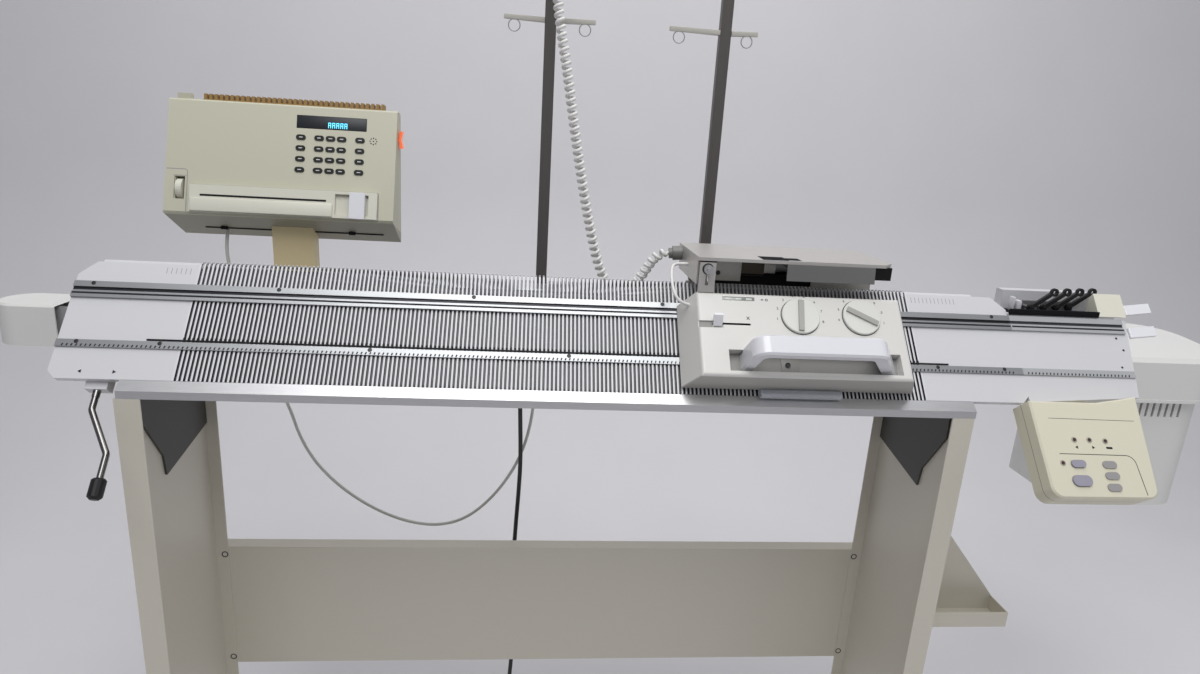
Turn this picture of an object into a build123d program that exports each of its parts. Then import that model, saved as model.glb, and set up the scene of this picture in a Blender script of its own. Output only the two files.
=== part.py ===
from build123d import *
import math
import os

# A double-bed domestic knitting machine on its sheet-metal stand, in millimetres.
# X runs along the needle beds to the right, the front faces -Y and Z is up.
# While it is built, Y = 0 is the middle plane between the two beds and Z = 0 is the front needle row.

# Needle beds: the two roof slopes, their channels and their pegs
ROW_HEIGHT = 838.0
ROW_OFFSET = 55.0
BED_ANGLE = 50.0
PITCH = 5.0
CHANNELS = 179
RIB_WIDTH = 2.2
RIB_DEPTH = 3.0
BED_THICK = 8.0
BED_LOW = 75.0
BED_HIGH = 47.0
PEG_TIP = 78.0

# Slide rails that lie on the beds
TOP_RAIL = (26.0, 47.0)
TOP_RAIL_HEIGHT = 3.0
TOP_RAIL_GROOVE = (33.5, 39.5)
GROOVE_FLOOR = 1.0
MID_RAIL = (28.0, 37.0)
MID_RAIL_HEIGHT = 2.2

# End plates, pressed trays beside the channels
LEFT_END = -582.0
RIGHT_END = 585.0
BACK_RIGHT_END = 566.0
PLATE_SKIN = 2.0
PLATE_WALL = 2.5
PLATE_CORNER = 18.0

# Stand
LEG_X = 507.0
LEG_FRONT = 115.0
LEG_BACK = 100.0
SHEET = 2.0
FRONT_FLANGE = 28.0
REAR_FLANGE = 19.0
RAIL_BOTTOM = -76.0
FOOT_HEIGHT = 18.0
FOOT_WIDTH = 36.0
FOOT_FRONT = 140.0
FOOT_BACK = 150.0
PANEL_TOP = -391.0
PANEL_BOTTOM = -596.0
PANEL_FOLD = 22.0
EDGE_RAIL_X = (-504.0, 508.0)
EDGE_RAIL_WALL = 1.6
BRACKET = 3.0
BEAM_SPAN = (-62.0, 18.0)
BEAM_DEPTH = 20.0

# Tool tray: its floor, lip and top corner, and its reach from the right leg
TRAY_Z = (-417.5, -394.0, -215.0)
TRAY_FRONT = -62.0
TRAY_REAR = -18.0
TRAY_LENGTH = 148.0

# Belt track behind the back bed
TRACK_FRONT = 132.0
TRACK_BACK = 178.0
TRACK_TOP = -36.0
TRACK_WALL = 2.0
TRACK_X = (-715.0, 812.0)
BELT_Y = (TRACK_FRONT + TRACK_BACK) / 2
BELT_LOW = -63.0
BELT_HIGH = -53.0
BELT_THICK = 1.4
PULLEY_R = (TRACK_BACK - TRACK_FRONT) / 2 - TRACK_WALL - 5.0
PULLEY_LEFT = -745.0
PULLEY_RIGHT = 905.0
SHAFT_R = 3.0

# Pulley housing at the left end and motor at the right end
HOUSING_END = -790.0
HOUSING_INNER_END = -700.0
HOUSING_Y = (TRACK_FRONT - 14.0, TRACK_BACK + 14.0)
HOUSING_Z = (-90.0, -31.0)
MOTOR_X = (800.0, 1041.0)
MOTOR_Y = (TRACK_FRONT - 72.0, TRACK_BACK + 52.0)
MOTOR_TOP_FRONT = -40.0
MOTOR_TOP_BACK = -22.0
MOTOR_RIM = -107.0
MOTOR_BOTTOM = -290.0

# Lock carriage
LOCK_X = (136.0, 428.0)
LOCK_TOP_X = (153.0, 409.0)
LOCK_LOW = 68.0
LOCK_HIGH = 42.0
LOCK_BASE = 3.3
LOCK_HEIGHT = 45.0
LOCK_WALL = 3.0
BACK_LOCK_HEIGHT = 34.0
BACK_LOCK_X = (150.0, 415.0)
DIAL_R = 23.5
DIAL_HEIGHT = 3.2
DIAL_LEFT = (279.0, -12.5)
DIAL_RIGHT = (356.5, -14.0)
RECESS = (186.0, 398.0, 34.0, 61.0)
RECESS_DEPTH = 12.0
HANDLE_RISE = 42.0
HANDLE_WIDTH = 20.0
HANDLE_LEAN = 5.0
TAB_X = (232.0, 333.0)
BRIDGE_TOP = 103.0
BRIDGE_THICK = 4.0
BRIDGE_Y = 62.0
BRIDGE_X = (152.0, 402.0)

# Colour changer at the right end
CHANGER_END = 738.0
CHANGER_LEAN = 17.0
CHANGER_TOP = 40.0
ARM_SPACING = 22.0
ARM_FIRST_TIP = 657.0
ARM_TIP_Z = 68.0
ARM_PIVOT_Z = 46.0
ARM_REACH = 30.0
ARM_STEP_BACK = 4.6
ARM_THICK = 4.0

# Control box under the colour changer
BOX_X = (567.0, 713.0)
BOX_Y = (-200.0, -80.0)
BOX_FACE = 22.0
BOX_BACK = -11.0
BUTTON_TRAVEL_GAP = 2.2

# Console on its post
CONSOLE_X = (-559.0, -247.0)
CONSOLE_FOOT = (148.7, 100.2)
CONSOLE_BROW = (199.4, 254.2)
CONSOLE_REAR = (223.5, 250.2)
CONSOLE_HEEL = (215.0, 62.0)
CONSOLE_WALL = 3.0
POST_X = (-424.0, -366.0)
POST_DEPTH = 26.0

# Masts and racking crank
MAST_X = (-33.0, 216.0)
MAST_WIDTH = 16.0
MAST_DEPTH = 12.0
MAST_TOP = 470.0
GUIDE_REACH = ((64.0, 62.0), (82.0, 44.0))
GUIDE_Z = 388.0
CRANK_X = -531.0
CRANK_Z = -13.0
CRANK_R = 3.5
CRANK_SHAFT_R = 4.0
CRANK_THROW = 28.0

# Clearances
GAP = 0.3
RUN = 0.05

SLOPE = math.radians(BED_ANGLE)
FLOOR = -ROW_HEIGHT
RIBS = CHANNELS + 1
FIELD_HALF = CHANNELS * PITCH / 2 + RIB_WIDTH / 2
BED = Plane(origin=(0, -ROW_OFFSET, 0), x_dir=(1, 0, 0), z_dir=(0, -math.sin(SLOPE), math.cos(SLOPE)))


def block(x0, x1, y0, y1, z0, z1):
    """Box between two corners"""
    return Pos((x0 + x1) / 2, (y0 + y1) / 2, (z0 + z1) / 2) * Box(x1 - x0, y1 - y0, z1 - z0)


def face_of(points):
    """Flat face through points, turned so that it looks along +Z"""
    turned = zip(points, points[1:] + points[:1])
    area = sum(a[0] * b[1] - b[0] * a[1] for a, b in turned)
    ordered = points if area > 0 else points[::-1]
    return make_face(Polyline(*ordered, close=True))


def along_x(points, x0, x1):
    """Section of (y, z) points, drawn out from x0 to x1"""
    return extrude(Plane.YZ.offset(x0) * face_of(points), x1 - x0)


def upright(points, z0, z1):
    """Plan of (x, y) points, raised from z0 to z1"""
    return extrude(Plane.XY.offset(z0) * face_of(points), z1 - z0)


def on_front(shape):
    """Lays a shape drawn as x, up-slope y and height z on the front bed"""
    return BED.location * shape


def mirrored(shape):
    """The same shape on the other side of the middle plane"""
    return mirror(shape, about=Plane.XZ)


def on_back(shape):
    """Lays a shape on the back bed, as a mirror image of the front"""
    return mirrored(on_front(shape))


def bed_point(down, height):
    """Y and Z of a point on the front slope, measured down from the needle row and out from the bed"""
    y = -ROW_OFFSET - down * math.cos(SLOPE) - height * math.sin(SLOPE)
    z = -down * math.sin(SLOPE) + height * math.cos(SLOPE)
    return (y, z)


def back_point(down, height):
    """The same point on the back slope"""
    y, z = bed_point(down, height)
    return (-y, z)


def rod_between(start, end, radius):
    """Round bar from one point to another"""
    line = Vector(*end) - Vector(*start)
    return extrude(Plane(origin=start, z_dir=line) * Circle(radius), line.length)


# Beds
def comb_bed():
    """Milled bed: a plate with a rib each side of every needle channel, the ribs running on as free pegs"""
    points = [(-FIELD_HALF, -BED_THICK), (FIELD_HALF, -BED_THICK)]
    for number in reversed(range(RIBS)):
        centre = (number - CHANNELS / 2) * PITCH
        if number < RIBS - 1:
            points.append((centre + RIB_WIDTH / 2, -RIB_DEPTH))
        points.append((centre + RIB_WIDTH / 2, 0))
        points.append((centre - RIB_WIDTH / 2, 0))
        if number > 0:
            points.append((centre - RIB_WIDTH / 2, -RIB_DEPTH))
    section = Plane(origin=(0, PEG_TIP, 0), x_dir=(1, 0, 0), z_dir=(0, -1, 0)) * face_of(points)
    comb = extrude(section, PEG_TIP + BED_LOW)
    under_pegs = block(-FIELD_HALF - 5, FIELD_HALF + 5, BED_HIGH, PEG_TIP + 5, -BED_THICK - 5, -RIB_DEPTH)
    return comb - under_pegs


def rail_section():
    """Section of the upper slide rail with its oil groove"""
    low, high = TOP_RAIL
    groove_low, groove_high = TOP_RAIL_GROOVE
    top = TOP_RAIL_HEIGHT
    return [(low, 0), (high, 0), (high, top), (groove_high, top), (groove_high, GROOVE_FLOOR),
            (groove_low, GROOVE_FLOOR), (groove_low, top), (low, top)]


def slide_rails(x0, x1):
    """Upper and middle slide rails of one bed"""
    upper = along_x(rail_section(), x0, x1)
    middle = block(x0, x1, -MID_RAIL[1], -MID_RAIL[0], 0, MID_RAIL_HEIGHT)
    return [upper, middle]


def end_plate(outer_x, inner_x):
    """Pressed tray that covers the bed's end, with one stiffening rib over the leg"""
    side = 1 if outer_x > inner_x else -1
    corner = PLATE_CORNER
    points = [(inner_x, -BED_LOW), (outer_x - side * corner / 2, -BED_LOW), (outer_x, -BED_LOW + corner / 2),
              (outer_x, BED_LOW - corner), (outer_x - side * corner, BED_LOW), (inner_x, BED_LOW)]
    outline = face_of(points)
    solid = extrude(Plane.XY.offset(-BED_THICK) * outline, BED_THICK)
    hollow_face = offset(outline, amount=-PLATE_WALL, kind=Kind.INTERSECTION)
    hollow = extrude(Plane.XY.offset(-BED_THICK) * hollow_face, BED_THICK - PLATE_SKIN)
    rib_x = side * (LEG_X - SHEET - BRACKET / 2)
    rib = block(rib_x - BRACKET, rib_x + BRACKET, -BED_LOW + 1, BED_LOW - 1, -BED_THICK, -PLATE_SKIN)
    return solid - hollow + rib


# Stand
def gable(depth, low):
    """Roof line of (y, z) points that follows both beds at a depth under them"""
    top = ROW_OFFSET / math.cos(SLOPE) - depth * math.tan(SLOPE)
    points = [bed_point(low, -depth), bed_point(-top, -depth), back_point(low, -depth)]
    return points


def leg(side):
    """Folded channel leg, with its top cut to the slope of the beds"""
    x = side * LEG_X
    inner = side * (LEG_X - SHEET)
    front = side * (LEG_X - FRONT_FLANGE)
    rear = side * (LEG_X - REAR_FLANGE)
    plan = [(x, -LEG_FRONT), (front, -LEG_FRONT), (front, -LEG_FRONT + SHEET), (inner, -LEG_FRONT + SHEET),
            (inner, LEG_BACK - SHEET), (rear, LEG_BACK - SHEET), (rear, LEG_BACK), (x, LEG_BACK)]
    column = upright(plan, FLOOR + FOOT_HEIGHT, ROW_OFFSET)
    shoulder = -bed_point(BED_LOW + GAP, -BED_THICK)[0]
    roof = gable(BED_THICK + GAP, BED_LOW)
    sky = [(-LEG_FRONT - 5, RAIL_BOTTOM), (-shoulder, RAIL_BOTTOM), (-shoulder, roof[0][1])]
    sky += roof
    sky += [(shoulder, roof[2][1]), (shoulder, RAIL_BOTTOM), (LEG_BACK + 5, RAIL_BOTTOM)]
    sky += [(LEG_BACK + 5, ROW_OFFSET + 50), (-LEG_FRONT - 5, ROW_OFFSET + 50)]
    return column - along_x(sky, min(x, front) - 5, max(x, front) + 5)


def foot(side):
    """Moulded shoe under one leg"""
    centre = side * (LEG_X - FRONT_FLANGE / 2)
    top = FLOOR + FOOT_HEIGHT
    middle = FLOOR + FOOT_HEIGHT / 2
    section = [(-FOOT_FRONT, FLOOR), (FOOT_BACK, FLOOR), (FOOT_BACK, middle), (FOOT_BACK - FOOT_HEIGHT, top),
               (-FOOT_FRONT + FOOT_HEIGHT, top), (-FOOT_FRONT, middle)]
    return along_x(section, centre - FOOT_WIDTH / 2, centre + FOOT_WIDTH / 2)


def bed_bracket(side):
    """Plate inside the leg that carries both beds, with its notched lower edge"""
    roof_front = bed_point(36, -BED_THICK)
    shoulder = -bed_point(BED_LOW + GAP, -BED_THICK)[0]
    roof = [roof_front, bed_point(-72, -BED_THICK), back_point(-72, -BED_THICK - GAP),
            back_point(66, -BED_THICK - GAP)]
    lower = [(shoulder, RAIL_BOTTOM - 2), (shoulder, -190), (-25, -212), (-29, -184), (roof_front[0], -121)]
    outer = side * (LEG_X - SHEET)
    inner = side * (LEG_X - SHEET - BRACKET)
    return along_x(roof + lower, min(outer, inner), max(outer, inner))


def bed_beam(top):
    """Folded channel under one bed, open downwards, between the two brackets"""
    half = LEG_X - SHEET - BRACKET
    low, high = BEAM_SPAN
    outer = block(-half, half, low, high, top - BEAM_DEPTH, top)
    inner = block(-half - 1, half + 1, low + SHEET, high - SHEET, top - BEAM_DEPTH - 1, top - SHEET)
    return outer - inner


def bed_frame():
    """Welded frame of two brackets and two beams"""
    frame = bed_bracket(-1) + bed_bracket(1)
    frame += on_front(bed_beam(-BED_THICK))
    frame += on_back(bed_beam(-BED_THICK - GAP))
    return frame


def edge_rail():
    """Hollow rail along the lower edge of the front bed"""
    top = bed_point(BED_LOW + GAP, 0)
    inner = bed_point(BED_LOW + GAP, -BED_THICK)
    nose = (-LEG_FRONT, top[1] - 9)
    section = [top, nose, (-LEG_FRONT, RAIL_BOTTOM), (inner[0], RAIL_BOTTOM), inner]
    solid = along_x(section, *EDGE_RAIL_X)
    inside = offset(Plane.YZ.offset(EDGE_RAIL_X[0]) * face_of(section), amount=-EDGE_RAIL_WALL,
                    kind=Kind.INTERSECTION)
    return solid - extrude(inside, EDGE_RAIL_X[1] - EDGE_RAIL_X[0])


def back_rail():
    """The same rail behind the back bed, with three arms that carry the belt track"""
    rail = mirrored(edge_rail())
    for x in (-480, 0, 480):
        rail += block(x - 12, x + 12, LEG_FRONT, TRACK_FRONT, RAIL_BOTTOM, RAIL_BOTTOM + 10)
    return rail


def back_panel():
    """Folded sheet that ties the two legs together"""
    half = LEG_X - SHEET - GAP
    section = [(LEG_BACK, PANEL_BOTTOM), (LEG_BACK + PANEL_FOLD, PANEL_BOTTOM),
               (LEG_BACK + PANEL_FOLD, PANEL_BOTTOM + SHEET), (LEG_BACK + SHEET, PANEL_BOTTOM + SHEET),
               (LEG_BACK + SHEET, PANEL_TOP - SHEET), (LEG_BACK + PANEL_FOLD, PANEL_TOP - SHEET),
               (LEG_BACK + PANEL_FOLD, PANEL_TOP), (LEG_BACK, PANEL_TOP)]
    return along_x(section, -half, half)


def side_tray():
    """Tool tray on the right leg: one folded sheet with a floor, two lips and a cut-away back"""
    low, lip, top = TRAY_Z
    front, rear, right = TRAY_FRONT, TRAY_REAR, LEG_X + TRAY_LENGTH
    back_plan = [(LEG_X, top), (LEG_X, low), (right, low), (right, lip)]
    back = extrude(Plane.XZ.offset(-rear) * face_of(back_plan), 1.5)
    tray = back + block(LEG_X, right, front, rear, low, low + 1.5)
    tray += block(LEG_X, right, front, front + 1.5, low, lip)
    tray += block(right - 1.5, right, front, rear, low, lip)
    tray += block(LEG_X, LEG_X + 1.5, front, rear, low, lip)
    return tray


# Belt drive
def belt_track():
    """Aluminium channel that guides the drive belt, open on top"""
    solid = block(*TRACK_X, TRACK_FRONT, TRACK_BACK, RAIL_BOTTOM, TRACK_TOP)
    inside = block(TRACK_X[0] - 1, TRACK_X[1] + 1, TRACK_FRONT + TRACK_WALL, TRACK_BACK - TRACK_WALL,
                   RAIL_BOTTOM + TRACK_WALL, TRACK_TOP + 1)
    return solid - inside


def stadium(radius, z0, z1):
    """Long round-ended slab about both pulleys"""
    slab = block(PULLEY_LEFT, PULLEY_RIGHT, BELT_Y - radius, BELT_Y + radius, z0, z1)
    for x in (PULLEY_LEFT, PULLEY_RIGHT):
        slab += Pos(x, BELT_Y, (z0 + z1) / 2) * Cylinder(radius, z1 - z0)
    return slab


def belt():
    """Endless drive belt round the two pulleys"""
    inner = PULLEY_R + GAP
    return stadium(inner + BELT_THICK, BELT_LOW, BELT_HIGH) - stadium(inner, BELT_LOW - 1, BELT_HIGH + 1)


def pulley(x):
    """Belt pulley with two flanges and a bore"""
    rim_r = PULLEY_R + BELT_THICK + 1.2
    flange = RegularPolygon(rim_r, 24)
    core = RegularPolygon(PULLEY_R, 24)
    shape = extrude(Pos(x, BELT_Y, BELT_LOW - GAP - 2) * flange, 2)
    shape += extrude(Pos(x, BELT_Y, BELT_LOW - GAP) * core, BELT_HIGH - BELT_LOW + 2 * GAP)
    shape += extrude(Pos(x, BELT_Y, BELT_HIGH + GAP) * flange, 2)
    return shape - Pos(x, BELT_Y, BELT_LOW) * Cylinder(SHAFT_R + RUN, 60)


ON_BASE = (Align.CENTER, Align.CENTER, Align.MIN)
HALF_HOUSING = (HOUSING_Y[1] - HOUSING_Y[0]) / 2


def round_nosed(shrink, x_end, z0, z1):
    """Block with a half-round left end, shrunk on all sides"""
    radius = HALF_HOUSING - shrink
    centre = HOUSING_END + HALF_HOUSING
    shape = block(centre, x_end, BELT_Y - radius, BELT_Y + radius, z0, z1)
    return shape + Pos(centre, BELT_Y, (z0 + z1) / 2) * Cylinder(radius, z1 - z0)


def pulley_housing():
    """Hollow left housing with the idler's axle and a ledge for the track"""
    wall = 2.5
    low, high = HOUSING_Z
    shell = round_nosed(0, HOUSING_INNER_END, low, high)
    shell = chamfer(shell.faces().sort_by(Axis.Z)[-1].edges(), 3)
    shell -= round_nosed(wall, HOUSING_INNER_END + 1, low + wall, high - wall)
    shell += block(TRACK_X[0], HOUSING_INNER_END, TRACK_FRONT, TRACK_BACK, low + wall, RAIL_BOTTOM)
    floor = low + wall
    axle_top = BELT_HIGH + 6
    collar_top = BELT_LOW - 2 * GAP - 2
    axle = Cylinder(SHAFT_R, axle_top - floor, align=ON_BASE)
    axle += Cylinder(SHAFT_R + 3, collar_top - floor, align=ON_BASE)
    return shell + Pos(PULLEY_LEFT, BELT_Y, floor) * axle


def motor_plan(shrink):
    """Rounded plan of the motor housing"""
    x0, x1 = MOTOR_X
    y0, y1 = MOTOR_Y
    plan = Pos((x0 + x1) / 2, (y0 + y1) / 2) * Rectangle(x1 - x0 - 2 * shrink, y1 - y0 - 2 * shrink)
    right = plan.vertices().group_by(Axis.X)[-1]
    plan = fillet(right, 70 - shrink)
    left = plan.vertices().group_by(Axis.X)[0]
    return fillet(left, 24 - shrink)


def motor_housing():
    """Upper cover of the motor, hollow, with a sloping top and an opening for the track"""
    wall = 3.0
    shell = extrude(Plane.XY.offset(MOTOR_RIM + 2) * motor_plan(0), MOTOR_TOP_BACK - MOTOR_RIM)
    sky = [(MOTOR_Y[0] - 5, MOTOR_TOP_FRONT - 0.5), (MOTOR_Y[1] + 5, MOTOR_TOP_BACK + 0.5),
           (MOTOR_Y[1] + 5, 20), (MOTOR_Y[0] - 5, 20)]
    shell -= along_x(sky, MOTOR_X[0] - 5, MOTOR_X[1] + 5)
    shell = chamfer(shell.faces().sort_by(Axis.Z)[-1].edges(), 6)
    inner_top = MOTOR_TOP_FRONT - 5
    shell -= extrude(Plane.XY.offset(MOTOR_RIM) * motor_plan(wall), inner_top - MOTOR_RIM)
    mouth = block(MOTOR_X[0] - 5, TRACK_X[1] + GAP, TRACK_FRONT - GAP, TRACK_BACK + GAP, RAIL_BOTTOM - GAP,
                  TRACK_TOP + 40)
    return shell - mouth


def motor_body():
    """Lower body with the motor, its cooling slots, the pulley shaft and a pad for the track"""
    top = MOTOR_RIM + 2
    rim = extrude(Plane.XY.offset(top - 5) * motor_plan(-1), 5)
    lower = extrude(Plane.XY.offset(MOTOR_BOTTOM) * motor_plan(12), top - 5 - MOTOR_BOTTOM)
    body = rim + lower
    slot_low, slot_high = MOTOR_RIM - 30, MOTOR_RIM - 6
    for number in range(8):
        x = MOTOR_X[1] - 150 + number * 11
        body -= block(x, x + 4, MOTOR_Y[0], MOTOR_Y[0] + 18, slot_low, slot_high)
    pad = block(MOTOR_X[0] + 3 + GAP, TRACK_X[1], TRACK_FRONT, TRACK_BACK, top, RAIL_BOTTOM)
    collar_top = BELT_LOW - 2 * GAP - 2
    shaft = Pos(PULLEY_RIGHT, BELT_Y, top) * Cylinder(SHAFT_R, BELT_HIGH + 6 - top, align=ON_BASE)
    collar = Pos(PULLEY_RIGHT, BELT_Y, top) * Cylinder(SHAFT_R + 6, collar_top - top, align=ON_BASE)
    return body + pad + shaft + collar


# Lock carriage
def lock_cover():
    """Front lock: a drafted hollow cover with a finger recess, a lever slot and two dial seats"""
    x0, x1 = LOCK_X
    t0, t1 = LOCK_TOP_X
    wall = LOCK_WALL
    outer = Plane(origin=(0, LOCK_HIGH, 0), x_dir=(1, 0, 0), z_dir=(0, -1, 0)) * face_of(
        [(x0, LOCK_BASE), (x1, LOCK_BASE), (t1, LOCK_HEIGHT), (t0, LOCK_HEIGHT)])
    cover = extrude(outer, LOCK_HIGH + LOCK_LOW)
    rim = cover.faces().sort_by(Axis.Z)[-1].edges()
    cover = fillet(rim, 4)
    inner = Plane(origin=(0, LOCK_HIGH - wall, 0), x_dir=(1, 0, 0), z_dir=(0, -1, 0)) * face_of(
        [(x0 + wall, LOCK_BASE + wall), (x1 - wall, LOCK_BASE + wall), (t1 - wall, LOCK_HEIGHT - wall),
         (t0 + wall, LOCK_HEIGHT - wall)])
    cover -= extrude(inner, LOCK_HIGH + LOCK_LOW - 2 * wall)
    left, right, top, bottom = RECESS
    floor = LOCK_HEIGHT - RECESS_DEPTH
    pan = block(left - wall, right + wall, -bottom - wall, -top + wall, floor - wall, LOCK_HEIGHT - wall)
    cover += pan
    cover -= block(left, right, -bottom, -top, floor, LOCK_HEIGHT + 1)
    cover -= block(184, 224, 31.5, 36.5, LOCK_HEIGHT - 1.5, LOCK_HEIGHT + 1)
    cover -= block(148, 182, -6, 3, LOCK_HEIGHT - 2, LOCK_HEIGHT + 1)
    cover -= block(162, 216, -1.8, 0.8, LOCK_HEIGHT - 4, LOCK_HEIGHT + 1)
    for x, y in (DIAL_LEFT, DIAL_RIGHT):
        cover -= Pos(x, -y, LOCK_HEIGHT - wall / 2) * Cylinder(CRANK_SHAFT_R + RUN, wall + 2)
    return on_front(cover)


def dial(place, turned):
    """Round dial with a raised pointer bar and a stub that turns in the cover"""
    x, down = place
    disc = Cylinder(DIAL_R, DIAL_HEIGHT, align=ON_BASE)
    disc = chamfer(disc.faces().sort_by(Axis.Z)[-1].edges(), 0.8)
    bar = Pos(0, 0, DIAL_HEIGHT) * Box(6.5, 2 * DIAL_R - 6, 2.6, align=ON_BASE)
    stub = Pos(0, 0, -LOCK_WALL) * Cylinder(CRANK_SHAFT_R, LOCK_WALL, align=ON_BASE)
    shape = Rot(0, 0, turned) * (disc + bar) + stub
    return on_front(Pos(x, -down, LOCK_HEIGHT + GAP) * shape)


def lock_lever():
    """Small slide lever that stands out of the lock's slot"""
    x = 175.0
    stem = block(x - 5, x + 5, -1.8 + GAP, 0.8 - GAP, LOCK_HEIGHT - 3.7, LOCK_HEIGHT + 2)
    seat = LOCK_HEIGHT + GAP
    grip = along_x([(-4, seat), (4, seat), (9, LOCK_HEIGHT + 9), (6, LOCK_HEIGHT + 10)], x - 5.5, x + 5.5)
    return on_front(stem + grip)


def lock_handle():
    """Bow handle over the finger recess, with flared feet"""
    left, right, top = RECESS[:3]
    floor = LOCK_HEIGHT - RECESS_DEPTH
    rise = LOCK_HEIGHT + HANDLE_RISE
    foot_left, foot_right = left + 16, right - 4
    outline = [(foot_left, floor), (foot_left + 4, rise), (foot_right - 34, rise), (foot_right, floor)]
    outer = face_of(outline)
    outer = fillet(outer.vertices().group_by(Axis.Y)[-1], 18)
    inner = face_of([(foot_left + 12, floor - 1), (foot_left + 16, rise - 11), (foot_right - 46, rise - 11),
                     (foot_right - 16, floor - 1)])
    inner = fillet(inner.vertices().group_by(Axis.Y)[-1], 8)
    place = Plane(origin=(0, -top - 3 + HANDLE_LEAN, 0), x_dir=(1, 0, 0), z_dir=(0, -1, 0))
    bow = extrude(place * outer, HANDLE_WIDTH + HANDLE_LEAN)
    bow = chamfer(bow.faces().sort_by(Axis.Z)[-1].edges().filter_by(Axis.X), 2.5)
    bow -= extrude(place * inner, HANDLE_WIDTH + HANDLE_LEAN)
    bow -= block(left, right, -top - 3, -top + 10, floor - 1, LOCK_HEIGHT + GAP)
    return on_front(bow)


def release_tab():
    """Clear release tab on the lock's lower edge"""
    half = 2.5
    hinge_y = -LOCK_LOW - GAP - half
    plate = block(*TAB_X, -BED_LOW - 4, hinge_y, LOCK_BASE, LOCK_BASE + 2 * half)
    lip = block(*TAB_X, -BED_LOW - 4, -BED_LOW - 1, LOCK_BASE, LOCK_BASE + 8)
    barrel = rod_between((TAB_X[0], hinge_y, LOCK_BASE + half), (TAB_X[1], hinge_y, LOCK_BASE + half), half)
    return on_front(plate + lip + barrel)


def back_lock():
    """Back lock: the plainer drafted cover on the back bed"""
    x0, x1 = BACK_LOCK_X
    draft = 14
    wall = LOCK_WALL
    high = BACK_LOCK_HEIGHT
    outer = Plane(origin=(0, LOCK_HIGH, 0), x_dir=(1, 0, 0), z_dir=(0, -1, 0)) * face_of(
        [(x0, LOCK_BASE), (x1, LOCK_BASE), (x1 - draft, high), (x0 + draft, high)])
    cover = extrude(outer, LOCK_HIGH + LOCK_LOW - 2)
    cover = chamfer(cover.faces().sort_by(Axis.Z)[-1].edges(), 2.5)
    inner = Plane(origin=(0, LOCK_HIGH - wall, 0), x_dir=(1, 0, 0), z_dir=(0, -1, 0)) * face_of(
        [(x0 + wall, LOCK_BASE + wall), (x1 - wall, LOCK_BASE + wall), (x1 - draft - wall, high - wall),
         (x0 + draft + wall, high - wall)])
    cover -= extrude(inner, LOCK_HIGH + LOCK_LOW - 2 - 2 * wall)
    return on_back(cover)


def upright_section():
    """Bent strip from a lock's back wall up to the bridge"""
    thick = 2.5
    start = bed_point(-LOCK_HIGH, 10)
    start_out = bed_point(-LOCK_HIGH - thick, 10)
    bend_height = (BRIDGE_Y - ROW_OFFSET + LOCK_HIGH * math.cos(SLOPE)) / math.sin(SLOPE)
    bend = bed_point(-LOCK_HIGH, bend_height)
    bend_out = bed_point(-LOCK_HIGH - thick, bend_height)
    top = BRIDGE_TOP - BRIDGE_THICK
    return [start, bend, (bend[0], top), (bend[0] + thick, top), (bend[0] + thick, bend_out[1]), start_out]


def bridge():
    """Folded plate that ties the front and back locks together over the pegs"""
    x0, x1 = BRIDGE_X
    top = BRIDGE_TOP
    outline = [(x0, -BRIDGE_Y), (x1 - 14, -BRIDGE_Y), (x1, -BRIDGE_Y + 16), (x1, BRIDGE_Y), (x0, BRIDGE_Y)]
    plate = upright(outline, top - BRIDGE_THICK, top)
    plate -= block(x0 + 80, x0 + 130, -BRIDGE_Y + 5, -BRIDGE_Y + 24, top - BRIDGE_THICK - 1, top + 1)
    strip = upright_section()
    front = along_x(strip, x0 + 2, x0 + 22)
    slot = block(x0 + 10, x0 + 14, -BRIDGE_Y - 3, -BRIDGE_Y + 5, top - 34, top - 10)
    front -= slot
    back_strip = mirrored(along_x(strip, x0 + 14, x0 + 40))
    cheek = block(x0, x0 + 2, -BRIDGE_Y + 6, BRIDGE_Y - 6, top - 34, top - BRIDGE_THICK)
    return plate + front + back_strip + cheek


def bridge_nut():
    """Knurled nut on the front upright"""
    x = BRIDGE_X[0] + 12
    z = BRIDGE_TOP - 14
    axis = Plane(origin=(x, -BRIDGE_Y - GAP, z), z_dir=(0, -1, 0))
    nut = extrude(axis * RegularPolygon(5.7, 14), 8)
    nut += extrude(axis * RegularPolygon(3.3, 14), 12)
    stem = Plane(origin=(x, -BRIDGE_Y + 6, z), z_dir=(0, -1, 0))
    return nut + extrude(stem * Circle(1.8), 6 + GAP)


def yarn_feeder():
    """Bent feeder plate under the bridge's front edge, with its strippers behind it"""
    top = BRIDGE_TOP - BRIDGE_THICK
    face = [(-BRIDGE_Y - 4, top - 20), (-BRIDGE_Y - 2.5, top - 20), (-BRIDGE_Y + 0, top - 4),
            (-BRIDGE_Y + 20, top - 4), (-BRIDGE_Y + 20, top), (-BRIDGE_Y - 1.5, top)]
    plate = along_x(face, 262, 374)
    carrier = block(350, 398, -BRIDGE_Y + 4, -18, top - 16, top)
    strippers = block(190, 250, -12, -9.5, top - 26, top)
    strippers += block(262, 340, 9.5, 12, top - 26, top)
    return [plate + carrier, strippers]


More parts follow.
